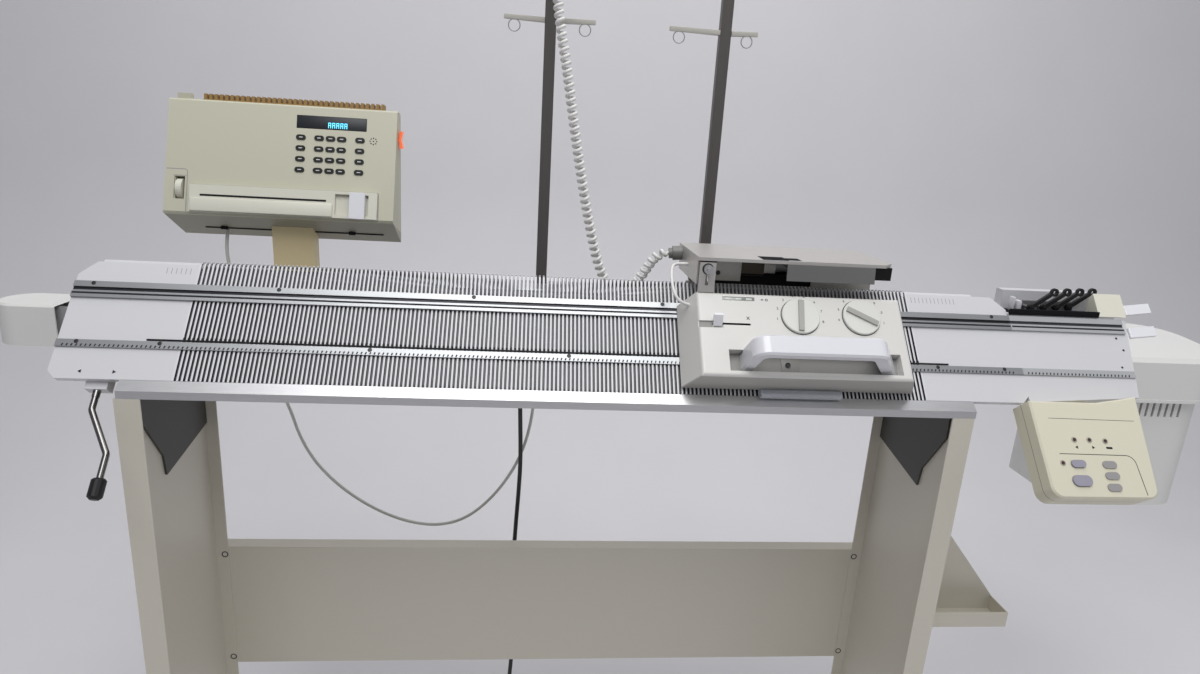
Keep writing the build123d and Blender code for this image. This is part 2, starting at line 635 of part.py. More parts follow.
def drive_arm():
    """Bent arm from the back lock over the track wall, with a fork that grips the belt"""
    thick = 2.5
    outer = LOCK_LOW - 2
    low = bed_point(outer, 12)
    high = bed_point(outer, 28)
    high_out = bed_point(outer + thick, 28)
    low_out = bed_point(outer + thick, 12)
    flange = mirrored(along_x([low, high, high_out, low_out], 270, 300))
    reach_top = high[1] + 1
    section = [(-high_out[0] - 1, reach_top - 3), (BELT_Y - PULLEY_R + 3, reach_top - 3),
               (BELT_Y - PULLEY_R + 3, reach_top), (-high_out[0], reach_top)]
    arm = along_x(section, 270, 300)
    belt_in = BELT_Y - PULLEY_R - GAP
    fork = block(278, 292, TRACK_FRONT + TRACK_WALL + 1, belt_in + 3, BELT_LOW, reach_top - 1)
    fork -= block(270, 300, belt_in - BELT_THICK - GAP, belt_in + GAP, BELT_LOW - 1, BELT_HIGH + GAP)
    return flange + arm + fork


# Colour changer
CHANGER_LOW = -BED_LOW + 11


def changer_edge(up):
    """X of the extension's leaning right edge at a height on the slope"""
    return CHANGER_END + CHANGER_LEAN * (up - CHANGER_LOW) / (BED_HIGH - CHANGER_LOW)


def changer_plate():
    """Extension of the front bed with its own stretch of both slide rails"""
    points = [(RIGHT_END, -BED_LOW + 1), (CHANGER_END, CHANGER_LOW), (changer_edge(BED_HIGH), BED_HIGH),
              (RIGHT_END, BED_HIGH)]
    outline = face_of(points)
    plate = extrude(Plane.XY.offset(-BED_THICK) * outline, BED_THICK)
    hollow = offset(outline, amount=-PLATE_WALL, kind=Kind.INTERSECTION)
    plate -= extrude(Plane.XY.offset(-BED_THICK) * hollow, BED_THICK - PLATE_SKIN)
    plate += along_x(rail_section(), RIGHT_END, changer_edge(BED_HIGH) - 8)
    plate += block(RIGHT_END, changer_edge(-MID_RAIL[1]) - 1, -MID_RAIL[1], -MID_RAIL[0], 0, MID_RAIL_HEIGHT)
    return on_front(plate)


def arm_pivot(number):
    """Pivot of a yarn arm: x, y, z"""
    return (ARM_FIRST_TIP + number * ARM_SPACING - ARM_REACH, -8 + number * ARM_STEP_BACK, ARM_PIVOT_Z)


def changer_frame():
    """Mechanism box behind the extension, with its tower and the pins that carry the yarn arms"""
    head = bed_point(-BED_HIGH, 0)
    heel = bed_point(-BED_HIGH, -BED_THICK)
    section = [head, (head[0], CHANGER_TOP), (30, CHANGER_TOP), (30, 6), (heel[0], 6), heel]
    frame = along_x(section, RIGHT_END + 1, CHANGER_END)
    first, last = arm_pivot(0), arm_pivot(3)
    rear = last[1] + ARM_THICK / 2 + GAP
    frame += block(RIGHT_END + 14, RIGHT_END + 142, rear + 6, 30, CHANGER_TOP, CHANGER_TOP + 25)
    frame += block(first[0] - 6, last[0] + 8, rear, rear + 6, CHANGER_TOP, CHANGER_TOP + 12)
    for number in range(4):
        x, y, z = arm_pivot(number)
        frame += rod_between((x, y - ARM_THICK / 2 - GAP, z), (x, rear, z), 2.0)
    return frame


def changer_arm(number):
    """Yarn arm with its pivot hub and its eyelet"""
    x, y, z = arm_pivot(number)
    tip = (x + ARM_REACH, z + ARM_TIP_Z - ARM_PIVOT_Z)
    place = Plane(origin=(0, y + ARM_THICK / 2, 0), x_dir=(1, 0, 0), z_dir=(0, -1, 0))
    hub = place * Pos(x, z) * RegularPolygon(4.6, 10)
    eye = place * Pos(*tip) * RegularPolygon(5.6, 12)
    arm = extrude(hub, ARM_THICK) + extrude(eye, ARM_THICK)
    slant = math.atan2(tip[1] - z, ARM_REACH)
    side = (-math.sin(slant) * 2.6, math.cos(slant) * 2.6)
    bar = [(x + side[0], z + side[1]), (x - side[0], z - side[1]),
           (tip[0] - side[0], tip[1] - side[1]), (tip[0] + side[0], tip[1] + side[1])]
    arm += extrude(place * face_of(bar), ARM_THICK)
    arm -= extrude(place * Pos(x, z) * Circle(2.0 + RUN), ARM_THICK)
    arm -= extrude(place * Pos(*tip) * RegularPolygon(2.6, 10), ARM_THICK)
    return arm


def changer_cover():
    """Cream cover at the right end of the colour changer"""
    heel = bed_point(-BED_HIGH, 0)
    lip = bed_point(-BED_HIGH - 3, 4)
    brow = bed_point(-BED_HIGH - 37, 6)
    section = [(heel[0], CHANGER_TOP), lip, brow, (brow[0] + 6, brow[1] - 8), (brow[0] + 6, CHANGER_TOP)]
    end = changer_edge(BED_HIGH)
    return along_x(section, end - 40, end)


def changer_tab(y, z):
    """Small lever at the end of the colour changer, turning about its root"""
    x = changer_edge(min(y + 7, BED_HIGH)) + 2.5 + GAP
    root = Plane(origin=(x, y - 7, z), z_dir=(0, 1, 0))
    shape = extrude(root * Circle(2.5), 14)
    paddle = [(x, z - 1.4), (x + 27, z + 7), (x + 27, z + 11), (x, z + 2.4)]
    place = Plane(origin=(0, y + 7, 0), x_dir=(1, 0, 0), z_dir=(0, -1, 0))
    return on_front(shape + extrude(place * face_of(paddle), 14))


# Control box
def control_box():
    """Box that hangs from the extension plate, with its bracket and its small oval keys"""
    x0, x1 = BOX_X
    y0, y1 = BOX_Y
    plan = face_of([(x0, y1), (x0, y0), (x1 - 12, y0), (x1, y1 + 9), (x0 + 90, y1)])
    plan = fillet(plan.vertices().group_by(Axis.Y)[0], 14)
    box = extrude(Plane.XY.offset(BOX_BACK) * plan, BOX_FACE - BOX_BACK)
    box = chamfer(box.faces().sort_by(Axis.Z)[-1].edges(), 2)
    for x, down in ((648, 159.5), (647.5, 173), (646, 187)):
        key = Pos(x, -down, BOX_FACE) * SlotOverall(18, 9)
        box += extrude(key, 1.5)
    for x, down, length, width in CONTROL_BUTTONS.values():
        box -= extrude(Pos(x, -down, BOX_FACE) * SlotOverall(length + 2 * GAP, width + 2 * GAP), -5)
    bracket = [(-50, -8), (-74, -8), (-79, -11), (-150, -11), (-150, -14), (-78, -14), (-73, -11),
               (-50, -11)]
    box += along_x(bracket, x0 + 40, x0 + 100)
    return on_front(box)


CONTROL_BUTTONS = {"button_small": (608.0, 159.0, 18.0, 9.0), "button_large": (607.0, 179.5, 24.0, 13.0)}


def control_button(name):
    """Oval push button that travels into the control box"""
    x, down, length, width = CONTROL_BUTTONS[name]
    cap = Pos(x, -down, BOX_FACE - 5 + BUTTON_TRAVEL_GAP) * SlotOverall(length, width)
    return on_front(extrude(cap, 5 - BUTTON_TRAVEL_GAP + 2.4))


# Console
def console_frame():
    """Plane of the console's face: x to the right, y up the face, z out of it"""
    foot_y, foot_z = CONSOLE_FOOT
    brow_y, brow_z = CONSOLE_BROW
    up = Vector(0, brow_y - foot_y, brow_z - foot_z).normalized()
    return Plane(origin=(0, foot_y, foot_z), x_dir=(1, 0, 0), z_dir=Vector(1, 0, 0).cross(up))


CONSOLE = console_frame()
FACE_TALL = math.dist(CONSOLE_FOOT, CONSOLE_BROW)
WHEEL_AT = (CONSOLE_X[0] + 20, 36.0)
SWITCH_AT = 205.0


def console_body():
    """Hollow wedge of the console, with its card reader, display pocket, wheel well and key field"""
    x0, x1 = CONSOLE_X
    corners = [CONSOLE_FOOT, CONSOLE_BROW, CONSOLE_REAR, CONSOLE_HEEL]
    shell = along_x(corners, x0, x1)
    shell = chamfer(shell.edges().filter_by(Axis.X), 2.5)
    inner = offset(Plane.YZ.offset(x0 + CONSOLE_WALL) * face_of(corners), amount=-CONSOLE_WALL,
                   kind=Kind.INTERSECTION)
    shell -= extrude(inner, x1 - x0 - 2 * CONSOLE_WALL)
    reader = block(x0 + 36, x1 - 22, 2, 40, -CONSOLE_WALL, 6)
    reader -= block(x0 + 50, x1 - 92, 24, 27, -CONSOLE_WALL - 1, 7)
    reader -= block(x1 - 80, x1 - 34, 6, 36, 1, 7)
    shell += CONSOLE.location * reader
    pocket = block(x1 - 139, x1 - 42, FACE_TALL - 33, FACE_TALL - 14, -1.5, 1)
    shell -= CONSOLE.location * pocket
    brow_y, brow_z = CONSOLE_BROW
    shell += block(x0 + 9, x0 + 26, brow_y + 6, brow_y + 17, brow_z - 6, brow_z + 7)
    wheel_x, wheel_up = WHEEL_AT
    well = block(wheel_x - 7, wheel_x + 7, wheel_up - 16, wheel_up + 16, -CONSOLE_WALL - 5, 1)
    shell -= CONSOLE.location * well
    cheek = block(wheel_x - 9, wheel_x + 9, wheel_up - 18, wheel_up + 18, -27, -CONSOLE_WALL + 0.5)
    cheek -= block(wheel_x - 6, wheel_x + 6, wheel_up - 16, wheel_up + 16, -25, 0)
    cheek += rod_between((wheel_x - 7, wheel_up, -9), (wheel_x + 7, wheel_up, -9), 2.0)
    shell += CONSOLE.location * cheek
    return shell


def console_grille():
    """Slatted vent strip along the console's top"""
    x0, x1 = CONSOLE_X[0] + 42, CONSOLE_X[1] - 19
    count = 35
    step = (x1 - x0) / count
    base_z, top_z = 0.0, 9.0
    points = [(x0, base_z), (x1, base_z)]
    for number in reversed(range(count)):
        left = x0 + number * step
        points += [(left + step * 0.86, 2.0), (left + step * 0.86, top_z), (left + step * 0.3, top_z),
                   (left + step * 0.3, 2.0)]
    depth = 14.0
    tilt = math.atan2(CONSOLE_REAR[1] - CONSOLE_BROW[1], CONSOLE_REAR[0] - CONSOLE_BROW[0])
    along = Vector(0, math.cos(tilt), math.sin(tilt))
    start = Vector(0, *CONSOLE_BROW) + along * 5
    place = Plane(origin=tuple(start), x_dir=(1, 0, 0), z_dir=-along)
    return extrude(place * face_of(points), -depth)


def card_slider():
    """White slider that feeds the card reader"""
    x = CONSOLE_X[1] - 48.5
    shape = block(x - 10.5, x + 10.5, 8, 34, 1 + GAP, 6 + 2 * GAP)
    shape += block(x - 10.5, x + 10.5, 1, 38, 6 + GAP, 12)
    return CONSOLE.location * shape


def feed_wheel():
    """Ribbed thumb wheel of the card reader"""
    wheel_x, wheel_up = WHEEL_AT
    place = Plane(origin=(wheel_x - 4, wheel_up, -9), z_dir=(1, 0, 0))
    wheel = extrude(place * RegularPolygon(14.0, 24), 8)
    wheel -= extrude(place * Circle(2.0 + RUN), 8)
    return CONSOLE.location * wheel


def switch_plane():
    """Place of the rocker switch on the console's right side"""
    return (CONSOLE_X[1], SWITCH_AT, 214.0)


def power_switch():
    """Lit rocker switch on the console's right cheek"""
    x, y, z = switch_plane()
    pivot_x = x + GAP + 1.5
    section = [(pivot_x, z - 1.5), (x + 2.4, z - 12), (x + 7, z - 12), (x + 4.4, z), (x + 7, z + 12),
               (x + 2.4, z + 12), (pivot_x, z + 1.5)]
    place = Plane(origin=(0, y + 6, 0), x_dir=(1, 0, 0), z_dir=(0, -1, 0))
    return extrude(place * face_of(section), 12) + extrude(place * Pos(pivot_x, z) * Circle(1.5), 12)


def console_post():
    """Beige post between the belt track and the console"""
    heel_y, heel_z = CONSOLE_HEEL
    foot_y, foot_z = CONSOLE_FOOT
    lean = (heel_z - foot_z) / (heel_y - foot_y)
    front_z = foot_z + lean * (TRACK_BACK - foot_y)
    rear_z = foot_z + lean * (TRACK_BACK + POST_DEPTH - foot_y)
    section = [(TRACK_BACK, RAIL_BOTTOM), (TRACK_BACK + POST_DEPTH, RAIL_BOTTOM),
               (TRACK_BACK + POST_DEPTH, rear_z), (TRACK_BACK, front_z)]
    outer = along_x(section, *POST_X)
    inner = block(POST_X[0] + SHEET, POST_X[1] - SHEET, TRACK_BACK + SHEET, TRACK_BACK + POST_DEPTH - SHEET,
                  RAIL_BOTTOM - 1, 200)
    return outer - inner


def masts():
    """Two yarn masts with their V-shaped guide arms, and the cord holder on the left one"""
    solids = []
    for x, reaches in zip(MAST_X, GUIDE_REACH):
        low_y = TRACK_BACK
        half = MAST_WIDTH / 2
        mast = block(x - half, x + half, low_y, low_y + MAST_DEPTH, RAIL_BOTTOM, MAST_TOP)
        for side, reach in zip((-1, 1), reaches):
            near, far = x + side * 7.5, x + side * reach
            plan = [(near, low_y - 1), (far, low_y - 9), (far, low_y - 5), (near, low_y + 9)]
            mast += upright(plan, GUIDE_Z - 3, GUIDE_Z + 3)
        solids.append(mast)
    x = MAST_X[0]
    solids[0] += block(x - 6, x + 14, CORD_TOP[1] - 9, TRACK_BACK, MAST_TOP - 8, MAST_TOP)
    solids[0] += Pos(*CORD_TOP) * Cylinder(8, MAST_TOP - CORD_TOP[2], align=ON_BASE)
    return solids


# Crank
def crank():
    """Bent racking crank under the left end plate"""
    start = (CRANK_X, -57, CRANK_Z)
    shaft_end = (CRANK_X, -92, CRANK_Z)
    route = [(CRANK_X, -90, CRANK_Z), (CRANK_X, -107, CRANK_Z), (CRANK_X + CRANK_THROW, -157, CRANK_Z),
             (CRANK_X + CRANK_THROW, -204, CRANK_Z)]
    path = FilletPolyline(*route, radius=9)
    bent = sweep(Plane(origin=path @ 0, z_dir=path % 0) * Circle(CRANK_R), path)
    return on_front(rod_between(start, shaft_end, CRANK_SHAFT_R) + bent)


def crank_knob():
    """Turning knob on the crank's end"""
    place = Plane(origin=(CRANK_X + CRANK_THROW, -184, CRANK_Z), z_dir=(0, -1, 0))
    knob = extrude(place * RegularPolygon(7.6, 16), 23)
    knob = chamfer(knob.faces().sort_by(Axis.Y)[0].edges(), 3)
    knob = chamfer(knob.faces().sort_by(Axis.Y)[-1].edges(), 2)
    knob -= extrude(place * Circle(CRANK_R + RUN), 21)
    return on_front(knob)


def front_plates():
    """Both end plates of the front bed, the left one with the crank's bearing block"""
    left = end_plate(LEFT_END, -FIELD_HALF)
    bush = block(CRANK_X - 12, CRANK_X + 12, -84, -56, CRANK_Z - 9, -BED_THICK)
    bush += block(CRANK_X - 12, CRANK_X + 12, -BED_LOW, -56, -BED_THICK, -PLATE_SKIN)
    bush -= rod_between((CRANK_X, -56, CRANK_Z), (CRANK_X, -85, CRANK_Z), CRANK_SHAFT_R + RUN)
    return [left + bush, end_plate(RIGHT_END, FIELD_HALF)]


# Cords
CORD_TOP = (-27.0, 130.0, 446.0)
CURLY_DIAMETER = 15.0
CURLY_ROUTE = [CORD_TOP, (-27, 130, 414), (-19, 124, 366), (-9, 116, 318), (0, 110, 264), (10, 105, 210),
               (21, 101, 156), (33, 97, 104), (46, 94, 58), (63, 88, 27), (86, 78, 27), (103, 64, 54),
               (114, 54, 78), (123, 47, 89), (135, 46, 90)]
LOOP_DIAMETER = 4.0
LOOP_HEIGHT = 28.0
LINK_DIAMETER = 5.0
LINK_ROUTE = [(-492, 196.0, 72.947), (-492, 185.087, 54.007), (-490, 184, 22), (-484, 187, -22),
              (-474, 191, -72), (-457, 195, -118), (-436, 198, -162), (-419, 200, -208), (-408, 201, -252),
              (-388, 201, -294), (-357, 201, -332), (-318, 201, -365), (-274, 201, -391), (-228, 201, -407),
              (-184, 201, -410), (-143, 200, -396), (-106, 199, -363), (-75, 198, -320), (-52, 197, -271),
              (-40, 195, -218), (-36, 191, -166), (-33, 184, -118), (-33, 184, RAIL_BOTTOM)]
LEAD_DIAMETER = 7.0
LEAD_ROUTE = [(-60, 160, RAIL_BOTTOM), (-60, 160, -114), (-59, 170, -170), (-57, 180, -225),
              (-55, 186, -285), (-57, 188, -345), (-60, 189, -405), (-62, 190, -465), (-60, 191, -525),
              (-58, 190, -580), (-59, 187, -634), (-62, 180, -686), (-66, 169, -732), (-68, 156, -773),
              (-64, 144, -806), (-50, 134, -828), (-31, 126, -834.4), (-12, 122, -834.4), (2, 126.5, -834.4)]
CORD_NODES = ("lock_cord", "loop_cable", "link_cable", "mains_lead", "mains_coil", "mains_plug")
COIL_CENTRE = (6.0, 172.0)
COIL_MEAN_R = 40.0
COIL_WIDTH = 16.0
COIL_HEIGHT = 21.0


def corner_radii(route):
    """Fillet radius of each corner: as large as its two runs allow"""
    radii = []
    for before, here, after in zip(route, route[1:], route[2:]):
        into = Vector(*here) - Vector(*before)
        out = Vector(*after) - Vector(*here)
        turn = math.radians(into.get_angle(out))
        radii.append(0.45 * min(into.length, out.length) / math.tan(turn / 2))
    return radii


def tube(route, diameter, name):
    """Round tube along straight runs joined by tangent arcs"""
    radii = corner_radii(route)
    path = FilletPolyline(*route, radius=radii)
    solid = sweep(Plane(origin=path @ 0, z_dir=path % 0) * Circle(diameter / 2), path)
    share = solid.volume / (math.pi * diameter ** 2 / 4 * path.length)
    print(name, "length", round(path.length), "volume share", round(share, 4),
          "radii", [round(radius) for radius in radii])
    return solid


def cord_connector():
    """Grey cone plug of the curly cord, seated on the bridge's cheek"""
    x, y, z = CURLY_ROUTE[-1]
    line = Vector(x, y, z) - Vector(*CURLY_ROUTE[-2])
    first = Plane(origin=(x, y, z), z_dir=line)
    body = extrude(first * Circle(7.0), 5) + extrude(first.offset(5) * Circle(9.5), 21)
    return body - block(BRIDGE_X[0], BRIDGE_X[0] + 40, y - 40, y + 40, z - 60, z + 40)


def loop_route():
    """Route of the thin cable from the bridge's cheek round to the lock's slanted left wall"""
    rise = LOCK_HEIGHT - LOCK_BASE
    draft = LOCK_TOP_X[0] - LOCK_X[0]
    seat_x = LOCK_X[0] + draft * (LOOP_HEIGHT - LOCK_BASE) / rise
    seat_y, seat_z = bed_point(-32, LOOP_HEIGHT)
    out = Vector(-rise, -draft * math.sin(SLOPE), draft * math.cos(SLOPE)).normalized() * 13
    before = (seat_x + out.X, seat_y + out.Y, seat_z + out.Z)
    return [(BRIDGE_X[0], 0, 84), (142, 0, 84), (132, -8, 84), (127, -24, 79), (125, -41, 69),
            (126, -54, 57), before, (seat_x, seat_y, seat_z)]


def coil_core():
    """Full cylinder inside the coil's outer edge"""
    x, y = COIL_CENTRE
    return Pos(x, y, FLOOR) * Cylinder(COIL_MEAN_R + COIL_WIDTH / 2, COIL_HEIGHT, align=ON_BASE)


def mains_coil():
    """Outer shape of the lead's put-away coil, lying on the floor behind the stand"""
    x, y = COIL_CENTRE
    hollow = Cylinder(COIL_MEAN_R - COIL_WIDTH / 2, COIL_HEIGHT, align=ON_BASE)
    return coil_core() - Pos(x, y, FLOOR) * hollow


def mains_plug():
    """Flat mains plug with two pins, lying beside the coil"""
    x, y = COIL_CENTRE
    y += COIL_MEAN_R + COIL_WIDTH / 4
    body = block(x - 96, x - 60, y - 13, y + 13, FLOOR, FLOOR + 16)
    body = chamfer(body.faces().sort_by(Axis.Z)[-1].edges(), 3)
    for side in (-1, 1):
        body += rod_between((x - 96, y + side * 9.5, FLOOR + 8), (x - 115, y + side * 9.5, FLOOR + 8), 2.0)
    sleeve = rod_between((x - 60, y, FLOOR + 8), (x, y, FLOOR + 8), 4.5)
    return body + (sleeve - coil_core())


def link_cable():
    """White cable from the console down under the beds and up to the left mast"""
    return tube(LINK_ROUTE, LINK_DIAMETER, "link_cable")


def main():
    """Builds every piece and writes it at its place over the floor"""
    nodes = {
        "feet": [foot(-1), foot(1)],
        "leg_left": [leg(-1)],
        "leg_right": [leg(1)],
        "back_panel": [back_panel()],
        "side_tray": [side_tray()],
        "bed_frame": [bed_frame()],
        "front_rail": [edge_rail()],
        "back_rail": [back_rail()],
        "belt_track": [belt_track()],
        "front_bed": [on_front(comb_bed())],
        "front_rails": [on_front(rail) for rail in slide_rails(LEFT_END, RIGHT_END)],
        "front_plates": [on_front(plate) for plate in front_plates()],
        "back_bed": [on_back(comb_bed())],
        "back_rails": [on_back(rail) for rail in slide_rails(LEFT_END, BACK_RIGHT_END)],
        "back_plates": [on_back(end_plate(LEFT_END, -FIELD_HALF)),
                        on_back(end_plate(BACK_RIGHT_END, FIELD_HALF))],
        "crank": [crank()],
        "crank_knob": [crank_knob()],
        "lock_cover": [lock_cover()],
        "dial_left": [dial(DIAL_LEFT, -6)],
        "dial_right": [dial(DIAL_RIGHT, 62)],
        "lock_lever": [lock_lever()],
        "lock_handle": [lock_handle()],
        "release_tab": [release_tab()],
        "back_lock": [back_lock()],
        "bridge": [bridge()],
        "bridge_nut": [bridge_nut()],
        "yarn_feeder": yarn_feeder(),
        "drive_arm": [drive_arm()],
        "belt": [belt()],
        "pulley_left": [pulley(PULLEY_LEFT)],
        "pulley_right": [pulley(PULLEY_RIGHT)],
        "pulley_housing": [pulley_housing()],
        "motor_housing": [motor_housing()],
        "motor_body": [motor_body()],
        "changer_plate": [changer_plate()],
        "changer_frame": [changer_frame()],
        "changer_cover": [changer_cover()],
        "changer_tab_upper": [changer_tab(61, 2.5)],
        "changer_tab_lower": [changer_tab(28, 0.5)],
        "control_box": [control_box()],
        "console_body": [console_body()],
        "console_grille": [console_grille()],
        "card_slider": [card_slider()],
        "feed_wheel": [feed_wheel()],
        "power_switch": [power_switch()],
        "console_post": [console_post()],
        "masts": masts(),
        "lock_cord": [tube(CURLY_ROUTE, CURLY_DIAMETER, "lock_cord")],
        "cord_connector": [cord_connector()],
        "loop_cable": [tube(loop_route(), LOOP_DIAMETER, "loop_cable")],
        "link_cable": [link_cable()],
        "mains_lead": [tube(LEAD_ROUTE, LEAD_DIAMETER, "mains_lead") - coil_core()],
        "mains_coil": [mains_coil()],
        "mains_plug": [mains_plug()],
    }
    for number in range(4):
        nodes[f"changer_arm_{number + 1}"] = [changer_arm(number)]
    for name in CONTROL_BUTTONS:
        nodes[name] = [control_button(name)]

    rigid = [shapes for name, shapes in nodes.items() if name not in CORD_NODES]
    boxes = [shape.bounding_box() for shapes in rigid for shape in shapes]
    middle_x = (min(box.min.X for box in boxes) + max(box.max.X for box in boxes)) / 2
    middle_y = (min(box.min.Y for box in boxes) + max(box.max.Y for box in boxes)) / 2
    shift = (-round(middle_x, 1), -round(middle_y, 1), ROW_HEIGHT)
    place = Pos(*shift)
    print("shift", shift, "loop", loop_route())
    os.makedirs("parts", exist_ok=True)
    for name, shapes in nodes.items():
        solids = [solid for shape in shapes for solid in (place * shape).solids()]
        export_step(Compound(children=solids) if len(solids) > 1 else solids[0], f"parts/{name}.step")


main()
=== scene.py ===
"""Looks of a double-bed domestic knitting machine on its sheet-metal stand.

Sizes are millimetres in the machine's own drawing: X along the needle beds, Y = 0 midway between the beds
and Z = 0 at the front needle row. MachineFrame puts a drawing into the row frame, in metres.
"""

import logging
import math
from dataclasses import dataclass
from enum import Enum
from typing import Callable, ClassVar, Sequence

import bpy
from mathutils import Matrix, Vector

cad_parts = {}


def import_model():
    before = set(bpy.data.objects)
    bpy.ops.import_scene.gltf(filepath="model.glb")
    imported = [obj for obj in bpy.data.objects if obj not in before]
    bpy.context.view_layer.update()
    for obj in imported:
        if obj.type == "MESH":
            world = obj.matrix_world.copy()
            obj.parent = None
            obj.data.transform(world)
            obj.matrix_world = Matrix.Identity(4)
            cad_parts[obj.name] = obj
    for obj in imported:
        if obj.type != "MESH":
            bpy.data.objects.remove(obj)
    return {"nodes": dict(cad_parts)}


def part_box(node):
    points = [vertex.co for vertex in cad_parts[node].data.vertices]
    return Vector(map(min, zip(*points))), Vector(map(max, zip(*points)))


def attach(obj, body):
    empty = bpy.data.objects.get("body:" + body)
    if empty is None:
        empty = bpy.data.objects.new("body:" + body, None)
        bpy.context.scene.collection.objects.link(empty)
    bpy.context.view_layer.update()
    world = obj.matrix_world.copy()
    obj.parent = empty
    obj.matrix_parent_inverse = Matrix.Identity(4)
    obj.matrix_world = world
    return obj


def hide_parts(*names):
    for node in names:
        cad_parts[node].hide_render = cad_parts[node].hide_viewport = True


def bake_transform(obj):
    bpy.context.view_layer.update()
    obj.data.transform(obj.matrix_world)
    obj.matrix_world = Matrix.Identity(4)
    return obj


LOG = logging.getLogger("knitting_machine")
Spot = tuple[float, float]
Point = tuple[float, float, float]
Colour = tuple[float, float, float]
Piece = bpy.types.Object
Socket = bpy.types.NodeSocket

MM = 0.001
PITCH = 5.0
CHANNELS = 179
RIB_DEPTH = 3.0
ROW_HEIGHT = 838.0
ROW_OFFSET = 55.0
BED_ANGLE = math.radians(50.0)
FLOOR = -ROW_HEIGHT
# A thin dark line drawn along each upper rail, below its groove.
SECOND_DARK_LINE = (30.0, 32.4)
SECOND_DARK_LINE_HEIGHTS = (2.9, 3.05)
TICK_SEAT = (-34.9, 2.15)
TICK_LEAN = -0.35
PRINT_THICK = 0.1
LETTER_THICK = 0.12
SHARP = math.radians(40.0)
FACING = 0.9
COAT_ROUGHNESS = 0.12
ROUGHNESS_SPREAD = 0.05
BUMP_DISTANCE = 0.0005


class Body(Enum):
    """Moving bodies that new pieces ride on."""

    STAND = "stand"
    BACK_BED = "back_bed_group"
    LOCK = "lock"


@dataclass(frozen=True)
class MachineFrame:
    """Where the machine's own drawing lies in the row frame."""

    middle_x: float
    middle_y: float

    @classmethod
    def measured(cls) -> "MachineFrame":
        """Reads the drawing's middle from the two beds.

        Returns:
            The frame, with its middle in metres.
        """
        front_low, front_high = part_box("front_bed")
        _, back_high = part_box("back_bed")
        return cls((front_low.x + front_high.x) / 2, (front_low.y + back_high.y) / 2)

    def upright(self) -> Matrix:
        """Matrix of the plain drawing."""
        lift = Matrix.Translation((self.middle_x, self.middle_y, ROW_HEIGHT * MM))
        return lift @ Matrix.Scale(MM, 4)

    def tilted(self, origin: Point, across: Point, up: Point) -> Matrix:
        """Matrix of a drawing on a plane.

        Args:
            origin: the plane's zero in the machine's drawing.
            across: direction of the plane's x.
            up: direction of the plane's y.

        Returns:
            The matrix from the plane's millimetres to the row frame.
        """
        x_axis, y_axis = Vector(across).normalized(), Vector(up).normalized()
        turn = Matrix((x_axis, y_axis, x_axis.cross(y_axis))).transposed().to_4x4()
        return self.upright() @ Matrix.Translation(origin) @ turn

    def front(self) -> Matrix:
        """Matrix of the front slope: x along the bed, y up the slope, z out of it."""
        return self.tilted((0, -ROW_OFFSET, 0), (1, 0, 0), (0, math.cos(BED_ANGLE), math.sin(BED_ANGLE)))

    def back(self) -> Matrix:
        """Matrix of the back slope, with x running to the left."""
        return self.tilted((0, ROW_OFFSET, 0), (-1, 0, 0), (0, -math.cos(BED_ANGLE), math.sin(BED_ANGLE)))

    def console(self) -> Matrix:
        """Matrix of the console's face: x to the right, y up the face, z out of it."""
        foot, brow = ConsoleDress.foot, ConsoleDress.brow
        return self.tilted((0, *foot), (1, 0, 0), (0, brow[0] - foot[0], brow[1] - foot[1]))

    def point(self, place: Point) -> Vector:
        """A drawing point in the row frame."""
        return self.upright() @ Vector(place)

    def points(self, places: Sequence[Point]) -> list[Vector]:
        """Drawing points in the row frame."""
        return [self.point(place) for place in places]


@dataclass(frozen=True)
class Graph:
    """A material's nodes.

    Attributes:
        tree: the node tree.
    """

    tree: bpy.types.NodeTree

    def add(self, kind: str, **settings: str) -> bpy.types.ShaderNode:
        """Adds a node with its own settings, such as its operation."""
        node = self.tree.nodes.new(kind)
        for name, value in settings.items():
            setattr(node, name, value)
        return node

    def feed(self, node: bpy.types.ShaderNode, inputs: dict) -> None:
        """Gives each named input its value, or links it to the socket that feeds it."""
        for name, value in inputs.items():
            if isinstance(value, Socket):
                self.tree.links.new(value, node.inputs[name])
            else:
                node.inputs[name].default_value = value


